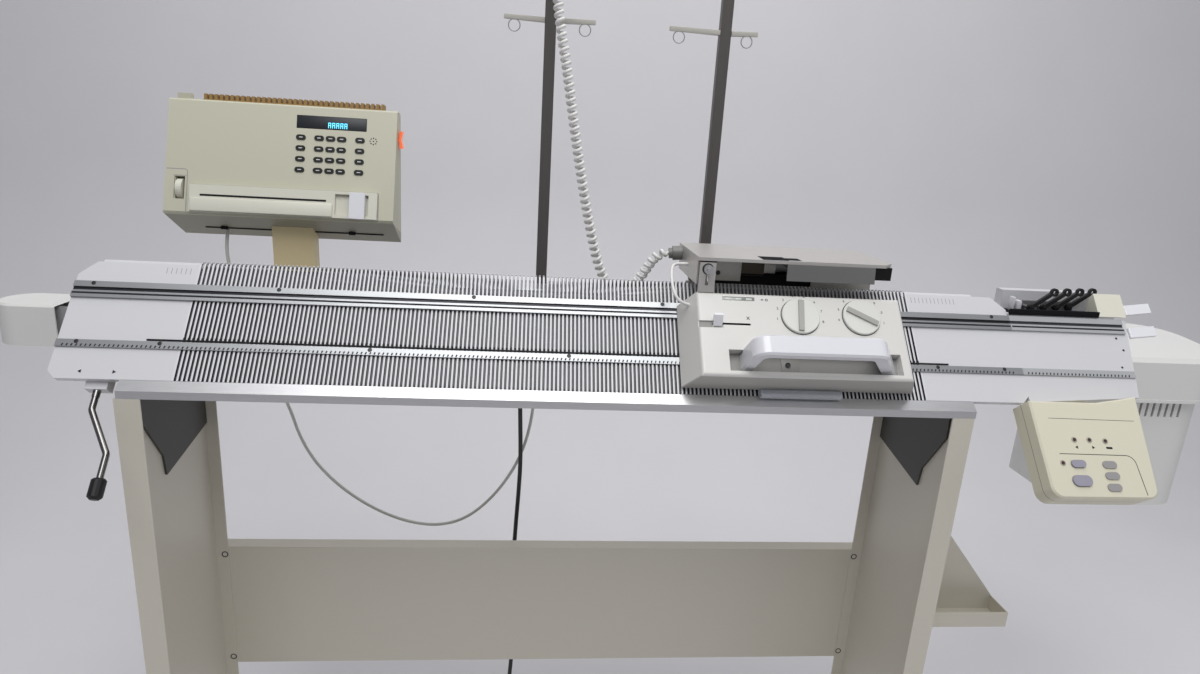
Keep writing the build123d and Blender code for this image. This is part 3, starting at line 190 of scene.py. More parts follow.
@dataclass(frozen=True)
class Finish:
    """A paint, plastic or metal with a fine grain.

    Attributes:
        name: what the material is called.
        colour: base colour, linear.
        roughness: middle roughness.
        metallic: 1 for bare metal.
        grain: noise scale per metre; higher is finer.
        fleck: how far the colour varies.
        bump: bump strength of the grain.
        coat: clear coat weight.
        stretch: grain stretch along x, y and z.
        alpha: 1 is solid.
        glow: emission strength in the base colour.
        shine: strength of its plain reflections.
    """

    name: str
    colour: Colour
    roughness: float = 0.5
    metallic: float = 0.0
    grain: float = 900.0
    fleck: float = 0.03
    bump: float = 0.03
    coat: float = 0.0
    stretch: Point = (1.0, 1.0, 1.0)
    alpha: float = 1.0
    glow: float = 0.0
    shine: float = 0.5

    def material(self) -> bpy.types.Material:
        """Makes the material once and hands it out again afterwards.

        Returns:
            The material.
        """
        known = bpy.data.materials.get(self.name)
        if known is not None:
            return known
        made = bpy.data.materials.new(self.name)
        made.use_nodes = True
        graph = Graph(made.node_tree)
        shader = made.node_tree.nodes["Principled BSDF"]
        graph.feed(shader, {
            "Metallic": self.metallic, "Coat Weight": self.coat, "Coat Roughness": COAT_ROUGHNESS,
            "Alpha": self.alpha, "Specular IOR Level": self.shine})
        if self.glow:
            graph.feed(shader, {"Emission Color": (*self.colour, 1), "Emission Strength": self.glow})
        grain = self.grain_socket(graph)
        graph.feed(shader, {"Base Color": self.paint(graph, grain)})
        span = graph.add("ShaderNodeMapRange")
        graph.feed(span, {
            "To Min": max(0.02, self.roughness - ROUGHNESS_SPREAD),
            "To Max": min(1.0, self.roughness + ROUGHNESS_SPREAD), "Value": grain})
        graph.feed(shader, {"Roughness": span.outputs["Result"]})
        if self.bump:
            bump = graph.add("ShaderNodeBump")
            graph.feed(bump, {"Strength": self.bump, "Distance": BUMP_DISTANCE, "Height": grain})
            graph.feed(shader, {"Normal": bump.outputs["Normal"]})
        return made

    def grain_socket(self, graph: Graph) -> Socket:
        """Adds the grain in object coordinates and hands out its strength."""
        coordinates = graph.add("ShaderNodeTexCoord")
        mapping = graph.add("ShaderNodeMapping")
        graph.feed(mapping, {"Scale": self.stretch, "Vector": coordinates.outputs["Object"]})
        noise = graph.add("ShaderNodeTexNoise")
        graph.feed(noise, {"Scale": self.grain, "Detail": 3.0, "Vector": mapping.outputs["Vector"]})
        return noise.outputs["Fac"]

    def paint(self, graph: Graph, grain: Socket) -> Socket:
        """Makes the base colour with its flecks.

        Args:
            graph: the material's nodes.
            grain: strength of the grain.

        Returns:
            Socket of the base colour.
        """
        ramp = graph.add("ShaderNodeValToRGB")
        low, high = ramp.color_ramp.elements
        low.position, high.position = 0.35, 0.65
        low.color = (*(channel * (1 - self.fleck) for channel in self.colour), 1)
        high.color = (*(min(1.0, channel * (1 + self.fleck)) for channel in self.colour), 1)
        graph.feed(ramp, {"Fac": grain})
        return ramp.outputs["Color"]


@dataclass(frozen=True)
class Band:
    """A layer of another colour between two heights over a plane.

    Attributes:
        low: its lower height.
        high: its upper height.
        colour: its colour.
        start: where it starts up the slope.
        end: where it ends up the slope.
    """

    low: float
    high: float
    colour: Colour
    start: float = -1000.0
    end: float = 1000.0


@dataclass(frozen=True)
class LayeredFinish(Finish):
    """A finish whose colour changes with height over a plane, such as painted shade in the channels between
    white ribs.

    Attributes:
        origin: a point of the plane in the machine's drawing.
        normal: the plane's normal.
        slope: direction that the starts and ends are measured along.
        bands: layers, in millimetres over the plane.
    """

    origin: Point = (0.0, 0.0, 0.0)
    normal: Point = (0.0, 0.0, 1.0)
    slope: Point = (1.0, 0.0, 0.0)
    bands: tuple[Band, ...] = ()

    def paint(self, graph: Graph, grain: Socket) -> Socket:
        """Makes the base colour with each band over the ground colour.

        Args:
            graph: the material's nodes.
            grain: strength of the grain.

        Returns:
            Socket of the base colour.
        """
        colour = graph.add("ShaderNodeRGB")
        colour.outputs[0].default_value = (*self.colour, 1)
        last = colour.outputs[0]
        for band in self.bands:
            over = self.between(graph, self.normal, band.low, band.high)
            along = self.between(graph, self.slope, band.start, band.end)
            both = graph.add("ShaderNodeMath", operation="MULTIPLY")
            graph.feed(both, {0: over, 1: along})
            mix = graph.add("ShaderNodeMix", data_type="RGBA")
            graph.feed(mix, {"Factor": both.outputs[0], "A": last, "B": (*band.colour, 1)})
            last = mix.outputs["Result"]
        fleck = graph.add("ShaderNodeMix", data_type="RGBA", blend_type="MULTIPLY")
        graph.feed(fleck, {"Factor": self.fleck * 2, "A": last, "B": grain})
        return fleck.outputs["Result"]

    def between(self, graph: Graph, direction: Point, low: float, high: float) -> Socket:
        """Adds a mask of what lies between two distances from the origin.

        Args:
            graph: the material's nodes.
            direction: direction of the distance.
            low: the smaller distance, in millimetres.
            high: the larger one.

        Returns:
            Socket that is 1 inside.
        """
        axis = Vector(direction).normalized()
        base = MachineFrame.measured().point(self.origin).dot(axis)
        coordinates = graph.add("ShaderNodeTexCoord")
        distance = graph.add("ShaderNodeVectorMath", operation="DOT_PRODUCT")
        graph.feed(distance, {0: coordinates.outputs["Object"], 1: axis})
        inside = graph.add("ShaderNodeMath", operation="COMPARE")
        graph.feed(inside, {
            0: distance.outputs["Value"], 1: base + (low + high) / 2 * MM, 2: (high - low) / 2 * MM})
        return inside.outputs[0]


FRONT_NORMAL = (0.0, -math.sin(BED_ANGLE), math.cos(BED_ANGLE))
BACK_NORMAL = (0.0, math.sin(BED_ANGLE), math.cos(BED_ANGLE))
FRONT_SLOPE = (0.0, math.cos(BED_ANGLE), math.sin(BED_ANGLE))
BACK_SLOPE = (0.0, -math.cos(BED_ANGLE), math.sin(BED_ANGLE))
BRUSHED = (1.0, 60.0, 60.0)
FRONT_PLANE = {"origin": (0, -ROW_OFFSET, 0), "normal": FRONT_NORMAL}
FRONT_SURFACE = {**FRONT_PLANE, "slope": FRONT_SLOPE}
BACK_SURFACE = {"origin": (0, ROW_OFFSET, 0), "normal": BACK_NORMAL, "slope": BACK_SLOPE}

STAND_PAINT = Finish("stand_cream_paint", (0.60, 0.57, 0.49), 0.42, grain=1400, fleck=0.02, bump=0.06)
FOOT_RUBBER = Finish("foot_rubber", (0.02, 0.02, 0.02), 0.8, grain=600, bump=0.1)
# Painted shade: the bed brackets inside the legs are near-black because they sit in the beds' shadow.
BRACKET_PAINTED_SHADE = Finish("bracket_painted_shade", (0.060, 0.058, 0.052), 0.55, bump=0.08)
RAIL_METAL = Finish("edge_rail_aluminium", (0.60, 0.60, 0.61), 0.38, 0.9, 60, 0.06, 0.02, stretch=BRUSHED)
TRACK_METAL = Finish("track_aluminium", (0.42, 0.42, 0.43), 0.45, 0.4, 60, 0.06, 0.02, stretch=BRUSHED)
PLATE_WHITE = Finish("end_plate_white", (0.60, 0.60, 0.62), 0.32, grain=1600, fleck=0.01, bump=0.02,
                     coat=0.15)
CHROME = Finish("crank_chrome", (0.20, 0.195, 0.19), 0.16, 1.0, 300, 0.02, 0.01)
BLACK_PLASTIC = Finish("moulded_black_plastic", (0.012, 0.012, 0.013), 0.42, grain=1200, shine=0.3)
BACK_LOCK_PLASTIC = Finish("back_lock_plastic", (0.62, 0.61, 0.58), 0.4, grain=1800, fleck=0.012, bump=0.04)
HANDLE_WHITE = Finish("handle_white_plastic", (0.72, 0.72, 0.76), 0.24, grain=1600, fleck=0.01, bump=0.015,
                      coat=0.3)
CLEAR_TAB = Finish("clear_tab_plastic", (0.62, 0.65, 0.70), 0.12, grain=500, bump=0.0, coat=0.4, alpha=0.55)
BRIDGE_STEEL = Finish("bridge_brushed_steel", (0.62, 0.60, 0.57), 0.40, 0.75, 50, 0.08, 0.02,
                      stretch=BRUSHED)
CARRIER_STEEL = Finish("carrier_plate_steel", (0.46, 0.45, 0.42), 0.42, 0.6, 200, 0.04, 0.02)
# Black of the lock's brushes, the changer's trough and the bridge's patch and washer; also painted shade in the
# bridge's slot, its gap and under the bridge.
BRISTLE_BLACK_AND_SHADE = Finish("black_bristle_and_painted_shade", (0.010, 0.010, 0.012), 0.85, grain=2500, fleck=0.2, bump=0.3,
                     shine=0.1)
BELT_RUBBER = Finish("drive_belt_rubber", (0.02, 0.02, 0.02), 0.7, grain=700, bump=0.08)
PULLEY_METAL = Finish("turned_pulley_metal", (0.45, 0.45, 0.46), 0.3, 1.0, 200, 0.05, 0.02)
COVER_CREAM = Finish("changer_cream_plastic", (0.68, 0.67, 0.57), 0.42, grain=1600, bump=0.04)
MOTOR_WHITE = Finish("motor_white_plastic", (0.70, 0.70, 0.68), 0.40, grain=1500, fleck=0.01, bump=0.05)
MECHANISM_GREY = Finish("mechanism_grey_paint", (0.60, 0.60, 0.62), 0.42)
# Near-black of the needle butts and the needle stop; also painted shade in the lever's slot, the card slot, the
# motor's slots and on the rail under the console.
DARK_PARTS_AND_SHADE = Finish("dark_parts_and_painted_shade", (0.016, 0.016, 0.018), 0.6, bump=0.05, shine=0.15)
READER_CREAM = Finish("reader_cream_plastic", (0.66, 0.65, 0.56), 0.42, grain=1500, fleck=0.015, bump=0.05)
GRILLE_TAN = Finish("grille_tan_plastic", (0.30, 0.18, 0.055), 0.5, grain=1200, fleck=0.06, bump=0.05)
POST_BEIGE = Finish("post_beige_paint", (0.74, 0.62, 0.37), 0.45, grain=1200, bump=0.04)
MAST_GREY = Finish("mast_grey_metal", (0.13, 0.12, 0.115), 0.42, 0.6, 60, 0.08, 0.03,
                   stretch=(60.0, 60.0, 1.0))
ARM_CLEAR = Finish("guide_arm_plastic", (0.62, 0.60, 0.54), 0.3, coat=0.2, alpha=0.75)
CORD_WHITE = Finish("cord_white_sheath", (0.72, 0.71, 0.69), 0.42, grain=1400)
CABLE_WHITE = Finish("cable_white_sheath", (0.60, 0.60, 0.57), 0.45, grain=1400)
CORD_BLACK = Finish("lead_black_sheath", (0.012, 0.012, 0.012), 0.4, grain=1400)
CONNECTOR_GREY = Finish("connector_grey_plastic", (0.17, 0.17, 0.155), 0.42, grain=1300, bump=0.05)
KEY_GREY = Finish("oval_key_lilac_grey", (0.30, 0.29, 0.35), 0.45, grain=1500)
PRINT_DARK = Finish("printed_dark", (0.025, 0.025, 0.03), 0.7, grain=800, bump=0.0, shine=0.1)
PRINT_GREY = Finish("printed_grey", (0.30, 0.30, 0.31), 0.6, grain=800, bump=0.0)
# Grey of the handle recess's insert; also painted shade on the floor of the lever's recess.
RECESS_GREY_AND_SHADE = Finish("recess_grey_and_painted_shade", (0.27, 0.265, 0.25), 0.5, grain=1200)
PRINT_LIGHT = Finish("printed_light", (0.75, 0.75, 0.72), 0.5, grain=800, bump=0.0)
NEEDLE_STEEL = Finish("needle_steel", (0.085, 0.085, 0.09), 0.45, 0.7, 200, 0.05, 0.0)
SCREW_STEEL = Finish("screw_steel", (0.40, 0.40, 0.41), 0.3, 1.0, 400, 0.05, 0.02)
SCREW_BLACK = Finish("screw_black", (0.03, 0.03, 0.03), 0.4, 0.3, 400, 0.05, 0.02)
WINDOW_GLASS = Finish("window_glass", (0.24, 0.25, 0.24), 0.20, grain=300, bump=0.0, coat=0.6)
DISPLAY_GLASS = Finish("display_glass", (0.006, 0.009, 0.014), 0.45, grain=300, bump=0.0)
DIGIT_GLOW = Finish("digit_glow", (0.12, 0.62, 0.85), 0.4, grain=300, bump=0.0, glow=1.3)
SWITCH_GLOW = Finish("switch_red_orange", (0.85, 0.16, 0.05), 0.25, grain=300, bump=0.0, coat=0.4, glow=0.45)
LAMP_DARK = Finish("lamp_dark", (0.030, 0.012, 0.010), 0.2, grain=300, bump=0.0, coat=0.6)
LAMP_RING = Finish("lamp_ring", (0.42, 0.38, 0.31), 0.4, grain=300, bump=0.0)
WINDOW_PANE = Finish("window_pane", (0.55, 0.58, 0.53), 0.3, grain=300, bump=0.0)
STUDIO_PALE = Finish("studio_pale", (0.72, 0.71, 0.73), 0.9, grain=3, fleck=0.01, bump=0.0)
PIN_BRASS = Finish("pin_brass", (0.60, 0.45, 0.18), 0.25, 1.0, 400, 0.03, 0.01)

SLIDE_STEEL = (0.38, 0.39, 0.40)
COMB_WHITE = (0.66, 0.66, 0.68)
# Painted shade: the comb's channels and the sides of its ribs and pegs are darkened where shade falls.
CHANNEL_PAINTED_SHADE = (0.018, 0.018, 0.020)
PEG_SIDE_PAINTED_SHADE = (0.20, 0.20, 0.21)
PEG_START = 47.0
COMB_BANDS = (Band(-9.0, -0.4, CHANNEL_PAINTED_SHADE, end=PEG_START),
              Band(-0.4, -0.12, PEG_SIDE_PAINTED_SHADE, end=PEG_START),
              Band(-9.0, -0.6, PEG_SIDE_PAINTED_SHADE, start=PEG_START))
# Painted shade: the floor of the rails' groove is darkened where shade falls.
GROOVE_PAINTED_SHADE = Band(0.5, 1.6, (0.035, 0.035, 0.040), start=36.0, end=41.0)
COMB_FRONT = LayeredFinish(
    "front_comb_layers", COMB_WHITE, 0.4, grain=1500, fleck=0.02, bump=0.02,
    **FRONT_SURFACE, bands=COMB_BANDS)
COMB_BACK = LayeredFinish(
    "back_comb_layers", COMB_WHITE, 0.4, grain=1500, fleck=0.02, bump=0.02,
    **BACK_SURFACE, bands=COMB_BANDS)
SLIDE_FRONT = LayeredFinish(
    "front_slide_steel", SLIDE_STEEL, 0.38, 0.75, 50, 0.06, 0.02, stretch=BRUSHED,
    **FRONT_SURFACE, bands=(GROOVE_PAINTED_SHADE,))
SLIDE_BACK = LayeredFinish(
    "back_slide_steel", SLIDE_STEEL, 0.38, 0.75, 50, 0.06, 0.02, stretch=BRUSHED,
    **BACK_SURFACE, bands=(GROOVE_PAINTED_SHADE,))
EXTENSION_WHITE = LayeredFinish(
    "extension_white", (0.60, 0.60, 0.62), 0.34, grain=1600, fleck=0.01, bump=0.02,
    **FRONT_SURFACE, bands=(Band(0.4, 3.4, SLIDE_STEEL), GROOVE_PAINTED_SHADE))
BOX_CREAM = LayeredFinish(
    "control_box_cream", (0.66, 0.63, 0.50), 0.45, grain=1500, fleck=0.012, bump=0.06,
    **FRONT_PLANE,
    bands=(Band(22.25, 24.0, (0.30, 0.29, 0.29)), Band(4.6, 5.3, (0.12, 0.11, 0.09))))
# Painted shade: the band darkens the lock cover's front bevel, which gets less light.
LOCK_PLASTIC_SHADED_FRONT = LayeredFinish(
    "lock_cream_plastic_shaded_front", (0.66, 0.65, 0.62), 0.36, grain=1800, fleck=0.012, bump=0.04, coat=0.1,
    **FRONT_SURFACE, bands=(Band(-5.0, 42.0, (0.40, 0.39, 0.36), start=-80.0, end=-66.5),))
DIAL_WHITE = LayeredFinish(
    "dial_white_plastic", (0.66, 0.66, 0.62), 0.4, grain=1400, fleck=0.01,
    **FRONT_PLANE, bands=(Band(48.6, 52.0, (0.36, 0.355, 0.33)),))
FEEDER_STEEL = LayeredFinish(
    "feeder_brushed_steel", (0.32, 0.32, 0.31), 0.30, 0.85, 80, 0.06, 0.02, stretch=BRUSHED,
    normal=(1.0, 0.0, 0.0),
    bands=(Band(374.6, 400.0, (0.03, 0.03, 0.03)), Band(180.0, 251.0, (0.07, 0.06, 0.045))))
# Painted shade: the second band darkens the console's underside and the foot of its side walls; the first band
# makes the face over the reader paler.
CONSOLE_CREAM_SHADED_UNDERSIDE = LayeredFinish(
    "console_cream_shaded_underside", (0.53, 0.52, 0.41), 0.48, grain=1500, fleck=0.015, bump=0.07,
    origin=(0, 148.7, 100.2), normal=(0.0, -154.0, 50.7), slope=(0.0, 50.7, 154.0),
    bands=(Band(0.4, 9.0, (0.64, 0.63, 0.54), end=45.0), Band(-90.0, -2.2, (0.36, 0.35, 0.27), end=-1.0)))
MECHANISM_LAYERS = LayeredFinish(
    "mechanism_grey_layers", (0.60, 0.60, 0.62), 0.42, slope=(0.0, 1.0, 0.0),
    bands=(Band(36.0, 52.3, (0.15, 0.15, 0.16), start=-5.0, end=14.05),))


class Bench:
    """Modelling by operators: a primitive at its size, shaped in edit mode and finished by modifiers."""

    @staticmethod
    def clear() -> None:
        """Deselects everything."""
        for item in list(bpy.context.selected_objects):
            item.select_set(False)
        bpy.context.view_layer.objects.active = None

    @staticmethod
    def pick(piece: Piece) -> None:
        """Selects one piece alone and makes it active."""
        Bench.clear()
        piece.select_set(True)
        bpy.context.view_layer.objects.active = piece

    @staticmethod
    def settle(piece: Piece, name: str) -> Piece:
        """Names a fresh primitive."""
        piece.name = name
        piece.data.name = name
        Bench.pick(piece)
        bpy.ops.object.transform_apply(location=True, rotation=True, scale=True)
        return piece

    @staticmethod
    def block(name: str, low: Point, high: Point, bevel: float = 0.0, segments: int = 2) -> Piece:
        """Adds a block between two corners, with its edges rounded.

        Args:
            name: the piece's name.
            low: lowest corner.
            high: highest corner.
            bevel: rounding width.
            segments: faces across the rounding.

        Returns:
            The block.
        """
        Bench.clear()
        centre = [(a + b) / 2 for a, b in zip(low, high)]
        bpy.ops.mesh.primitive_cube_add(size=1, location=centre)
        piece = bpy.context.active_object
        piece.scale = [b - a for a, b in zip(low, high)]
        Bench.settle(piece, name)
        return Bench.rounded(piece, bevel, segments) if bevel else piece

    @staticmethod
    def disc(name: str, foot: Point, radius: float, height: float, sides: int = 32, bevel: float = 0.0,
             axis: str = "Z") -> Piece:
        """Adds a round post that stands on a point.

        Args:
            name: the piece's name.
            foot: middle of its lower end.
            radius: its radius.
            height: its height along the axis, which may be negative.
            sides: faces round it.
            bevel: rounding width of the rims.
            axis: letter of its axis.

        Returns:
            The post.
        """
        Bench.clear()
        turn = {"X": (0, math.pi / 2, 0), "Y": (-math.pi / 2, 0, 0), "Z": (0, 0, 0)}[axis]
        along = {"X": Vector((1, 0, 0)), "Y": Vector((0, 1, 0)), "Z": Vector((0, 0, 1))}[axis]
        bpy.ops.mesh.primitive_cylinder_add(vertices=sides, radius=radius, depth=abs(height),
                                            location=Vector(foot) + along * height / 2, rotation=turn)
        piece = Bench.settle(bpy.context.active_object, name)
        return Bench.rounded(piece, bevel) if bevel else piece

    @staticmethod
    def ring(name: str, centre: Point, radius: float, width: float, height: float, sides: int = 40) -> Piece:
        """Adds a flat ring that lies round a point.

        Args:
            name: the piece's name.
            centre: middle of its underside.
            radius: its outer radius.
            width: width of its band.
            height: its height.
            sides: faces round it.

        Returns:
            The ring.
        """
        Bench.clear()
        middle = Vector(centre) + Vector((0, 0, height / 2))
        bpy.ops.mesh.primitive_cylinder_add(vertices=sides, radius=radius, depth=height,
                                            end_fill_type="NOTHING", location=middle)
        piece = Bench.settle(bpy.context.active_object, name)
        wall = piece.modifiers.new("Wall", "SOLIDIFY")
        wall.thickness = width
        wall.offset = -1
        return Bench.applied(piece)

    @staticmethod
    def strokes(name: str, points: Sequence[Spot], width: float, low: float, high: float) -> Piece:
        """Makes a printed line from short straight bars.

        Args:
            name: the piece's name.
            points: corners of the line on its plane.
            width: line width.
            low: its underside.
            high: its upper side.

        Returns:
            The line.
        """
        bars = []
        for (x0, y0), (x1, y1) in zip(points, points[1:]):
            half = math.dist((x0, y0), (x1, y1)) / 2
            bar = Bench.block(name, (-half, -width / 2, low), (half, width / 2, high))
            turn = Matrix.Rotation(math.atan2(y1 - y0, x1 - x0), 4, "Z")
            bar.data.transform(Matrix.Translation(((x0 + x1) / 2, (y0 + y1) / 2, 0)) @ turn)
            bars.append(bar)
        return Bench.joined(bars, name)

    @staticmethod
    def rounded(piece: Piece, width: float, segments: int = 2) -> Piece:
        """Rounds a piece's sharp edges with a bevel that is applied."""
        modifier = piece.modifiers.new("Rounding", "BEVEL")
        modifier.width = width
        modifier.segments = segments
        modifier.limit_method = "ANGLE"
        modifier.angle_limit = SHARP
        return Bench.applied(piece)

    @staticmethod
    def applied(piece: Piece) -> Piece:
        """Applies all modifiers of a piece."""
        Bench.pick(piece)
        for modifier in list(piece.modifiers):
            bpy.ops.object.modifier_apply(modifier=modifier.name)
        return piece

    @staticmethod
    def open_where(piece: Piece, kind: str, test: Callable[..., bool]) -> None:
        """Opens edit mode with only the edges or faces that pass a test selected.

        Args:
            piece: the piece to edit.
            kind: EDGE or FACE.
            test: takes an edge or face of its mesh and says whether it is wanted.
        """
        Bench.pick(piece)
        bpy.ops.object.mode_set(mode="EDIT")
        bpy.ops.mesh.select_mode(type=kind)
        bpy.ops.mesh.select_all(action="DESELECT")
        bpy.ops.object.mode_set(mode="OBJECT")
        for part in piece.data.edges if kind == "EDGE" else piece.data.polygons:
            part.select = test(part)
        bpy.ops.object.mode_set(mode="EDIT")

    @staticmethod
    def open_facing(piece: Piece, facing: Point) -> None:
        """Opens edit mode with only the faces that face one way selected."""
        way = Vector(facing)
        Bench.open_where(piece, "FACE", lambda face: face.normal.dot(way) > FACING)

    @staticmethod
    def done() -> None:
        """Closes edit mode."""
        bpy.ops.object.mode_set(mode="OBJECT")

    @staticmethod
    def sunk(head: Piece, facing: Point, rim: float, depth: float) -> Piece:
        """Sinks the middle of a screw's face.

        Args:
            head: the screw's head.
            facing: direction of the face.
            rim: width that stays at full height.
            depth: how far the middle goes in.

        Returns:
            The head.
        """
        Bench.open_facing(head, facing)
        bpy.ops.mesh.inset(thickness=rim)
        bpy.ops.transform.translate(value=-depth * Vector(facing))
        Bench.done()
        return head

    @staticmethod
    def tapered(piece: Piece, facing: Point, factors: Point) -> None:
        """Narrows the end of a piece that faces one way."""
        Bench.open_facing(piece, facing)
        bpy.ops.transform.resize(value=factors)
        Bench.done()

    @staticmethod
    def arrow(name: str, spot: Point, radius: float, turn: float) -> Piece:
        """Makes a small printed triangle, turned by an angle in degrees."""
        sign = Bench.disc(name, (0, 0, 0), radius, PRINT_THICK, 3)
        sign.data.transform(Matrix.Translation(spot) @ Matrix.Rotation(math.radians(turn), 4, "Z"))
        return sign

    @staticmethod
    def slide_lines(name: str, line: tuple[float, float], first: float, count: int) -> Piece:
        """Makes the second dark line of an upper rail and the slanted ticks along the middle one.

        Args:
            name: the piece's name.
            line: where the dark line starts and ends.
            first: place of the first tick.
            count: how many ticks there are.

        Returns:
            The line and its ticks.
        """
        ends = zip(line, SECOND_DARK_LINE, SECOND_DARK_LINE_HEIGHTS)
        bar = Bench.block("line", *ends)
        lean = Matrix.Rotation(TICK_LEAN, 4, "Z")
        tick = Bench.block("tick", (-0.8, -1.6, 0), (0.8, 1.6, PRINT_THICK))
        spots = [(first + number * PITCH, *TICK_SEAT) for number in range(count)]
        ticks = Bench.copies(tick, [Matrix.Translation(spot) @ lean for spot in spots], "ticks")
        return Bench.joined([bar, ticks], name)

    @staticmethod
    def copies(piece: Piece, moves: Sequence[Matrix], name: str) -> Piece:
        """Copies a piece to several places and joins the copies; the first one is used up.

        Args:
            piece: the piece to repeat.
            moves: one matrix for each copy.
            name: name of the joined piece.

        Returns:
            The joined piece.
        """
        made = []
        for move in moves:
            twin = piece.copy()
            twin.data = piece.data.copy()
            twin.data.transform(move)
            bpy.context.scene.collection.objects.link(twin)
            made.append(twin)
        bpy.data.objects.remove(piece, do_unlink=True)
        return Bench.joined(made, name)

    @staticmethod
    def spread(piece: Piece, spots: Sequence[Point], name: str) -> Piece:
        """Copies a piece to several points and joins the copies; the first one is used up."""
        return Bench.copies(piece, [Matrix.Translation(spot) for spot in spots], name)

    @staticmethod
    def joined(pieces: Sequence[Piece], name: str) -> Piece:
        """Joins pieces into one."""
        Bench.clear()
        for piece in pieces:
            piece.select_set(True)
        bpy.context.view_layer.objects.active = pieces[0]
        if len(pieces) > 1:
            bpy.ops.object.join()
        whole = bpy.context.view_layer.objects.active
        whole.name = name
        whole.data.name = name
        return whole

    @staticmethod
    def lettering(name: str, words: str, place: Matrix, height: float) -> Piece:
        """Makes small raised figures, such as a dial's numbers.

        Args:
            name: the piece's name.
            words: what they say.
            place: where they stand in the drawing.
            height: letter size.

        Returns:
            The lettering as a mesh.
        """
        Bench.clear()
        bpy.ops.object.text_add()
        text = bpy.context.active_object
        text.data.body = words
        text.data.size = height
        text.data.extrude = LETTER_THICK / 2
        text.data.resolution_u = 2
        text.data.align_x = "CENTER"
        text.data.align_y = "CENTER"
        bpy.ops.object.convert(target="MESH")
        piece = bpy.context.active_object
        piece.data.transform(place)
        return Bench.settle(piece, name)


@dataclass(frozen=True)
class Fitter:
    """Puts finished pieces on the machine and logs them.

    Attributes:
        frame: the machine's frame.
        nodes: the CAD nodes by name.
    """

    frame: MachineFrame
    nodes: dict[str, Piece]

    def fit(self, piece: Piece, place: Matrix, finish: Finish, body: Body, slot: str) -> Piece:
        """Lays a piece into the row frame, dresses it and lets it ride.

        Args:
            piece: the piece, in its drawing's millimetres.
            place: matrix of that drawing.
            finish: what it is made of.
            body: the body it rides on.
            slot: the record's material slot; not used.

        Returns:
            The piece.
        """
        piece.data.transform(place)
        piece.data.update()
        Bench.pick(piece)
        bpy.ops.object.shade_smooth_by_angle(angle=SHARP)
        piece.data.materials.clear()
        piece.data.materials.append(finish.material())
        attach(piece, body.value)
        LOG.info("fitted %s on %s", piece.name, body.value)
        return piece

    def dress(self, node: str, finish: Finish) -> None:
        """Gives a CAD node its finish."""
        for slot in self.nodes[node].material_slots:
            slot.material = finish.material()
        LOG.info("dressed %s", node)


@dataclass(frozen=True)
class Dress:
    """Looks of one sub-assembly: finishes for its CAD nodes, and small pieces of its own.

    Attributes:
        fitter: puts pieces on the machine.
    """

    fitter: Fitter
    body: ClassVar[Body] = Body.STAND
    finishes: ClassVar[dict[str, Finish]] = {}

    def build(self) -> None:
        """Dresses the CAD nodes, then adds the small pieces."""
        for node, finish in self.finishes.items():
            self.fitter.dress(node, finish)
        self.add()

    def add(self) -> None:
        """Adds the small pieces."""
        raise NotImplementedError(type(self).__name__)

    def fit(self, place: Matrix, finish: Finish, slot: str, *pieces: Piece) -> None:
        """Fits pieces of one drawing, joined under the first one's name.

        Args:
            place: matrix of the drawing.
            finish: what they are made of.
            slot: the record's material slot.
            pieces: the pieces.
        """
        self.fitter.fit(Bench.joined(pieces, pieces[0].name), place, finish, self.body, slot)

    def front(self, finish: Finish, slot: str, *pieces: Piece) -> None:
        """Fits pieces that are drawn on the front slope."""
        self.fit(self.fitter.frame.front(), finish, slot, *pieces)

    def upright(self, finish: Finish, slot: str, *pieces: Piece) -> None:
        """Fits pieces that are drawn upright."""
        self.fit(self.fitter.frame.upright(), finish, slot, *pieces)


@dataclass(frozen=True)
class Lamp:
    """A soft square lamp, in metres and watts."""

    name: str
    place: Point
    target: Point
    size: float
    power: float

    def light(self) -> None:
        """Adds the lamp, aimed at its target."""
        Bench.clear()
        bpy.ops.object.light_add(type="AREA", location=self.place)
        lamp = bpy.context.active_object
        lamp.name = self.name
        lamp.data.shape = "SQUARE"
        lamp.data.size = self.size
        lamp.data.energy = self.power
        aim = Vector(self.target) - Vector(self.place)
        lamp.rotation_euler = aim.to_track_quat("-Z", "Y").to_euler()


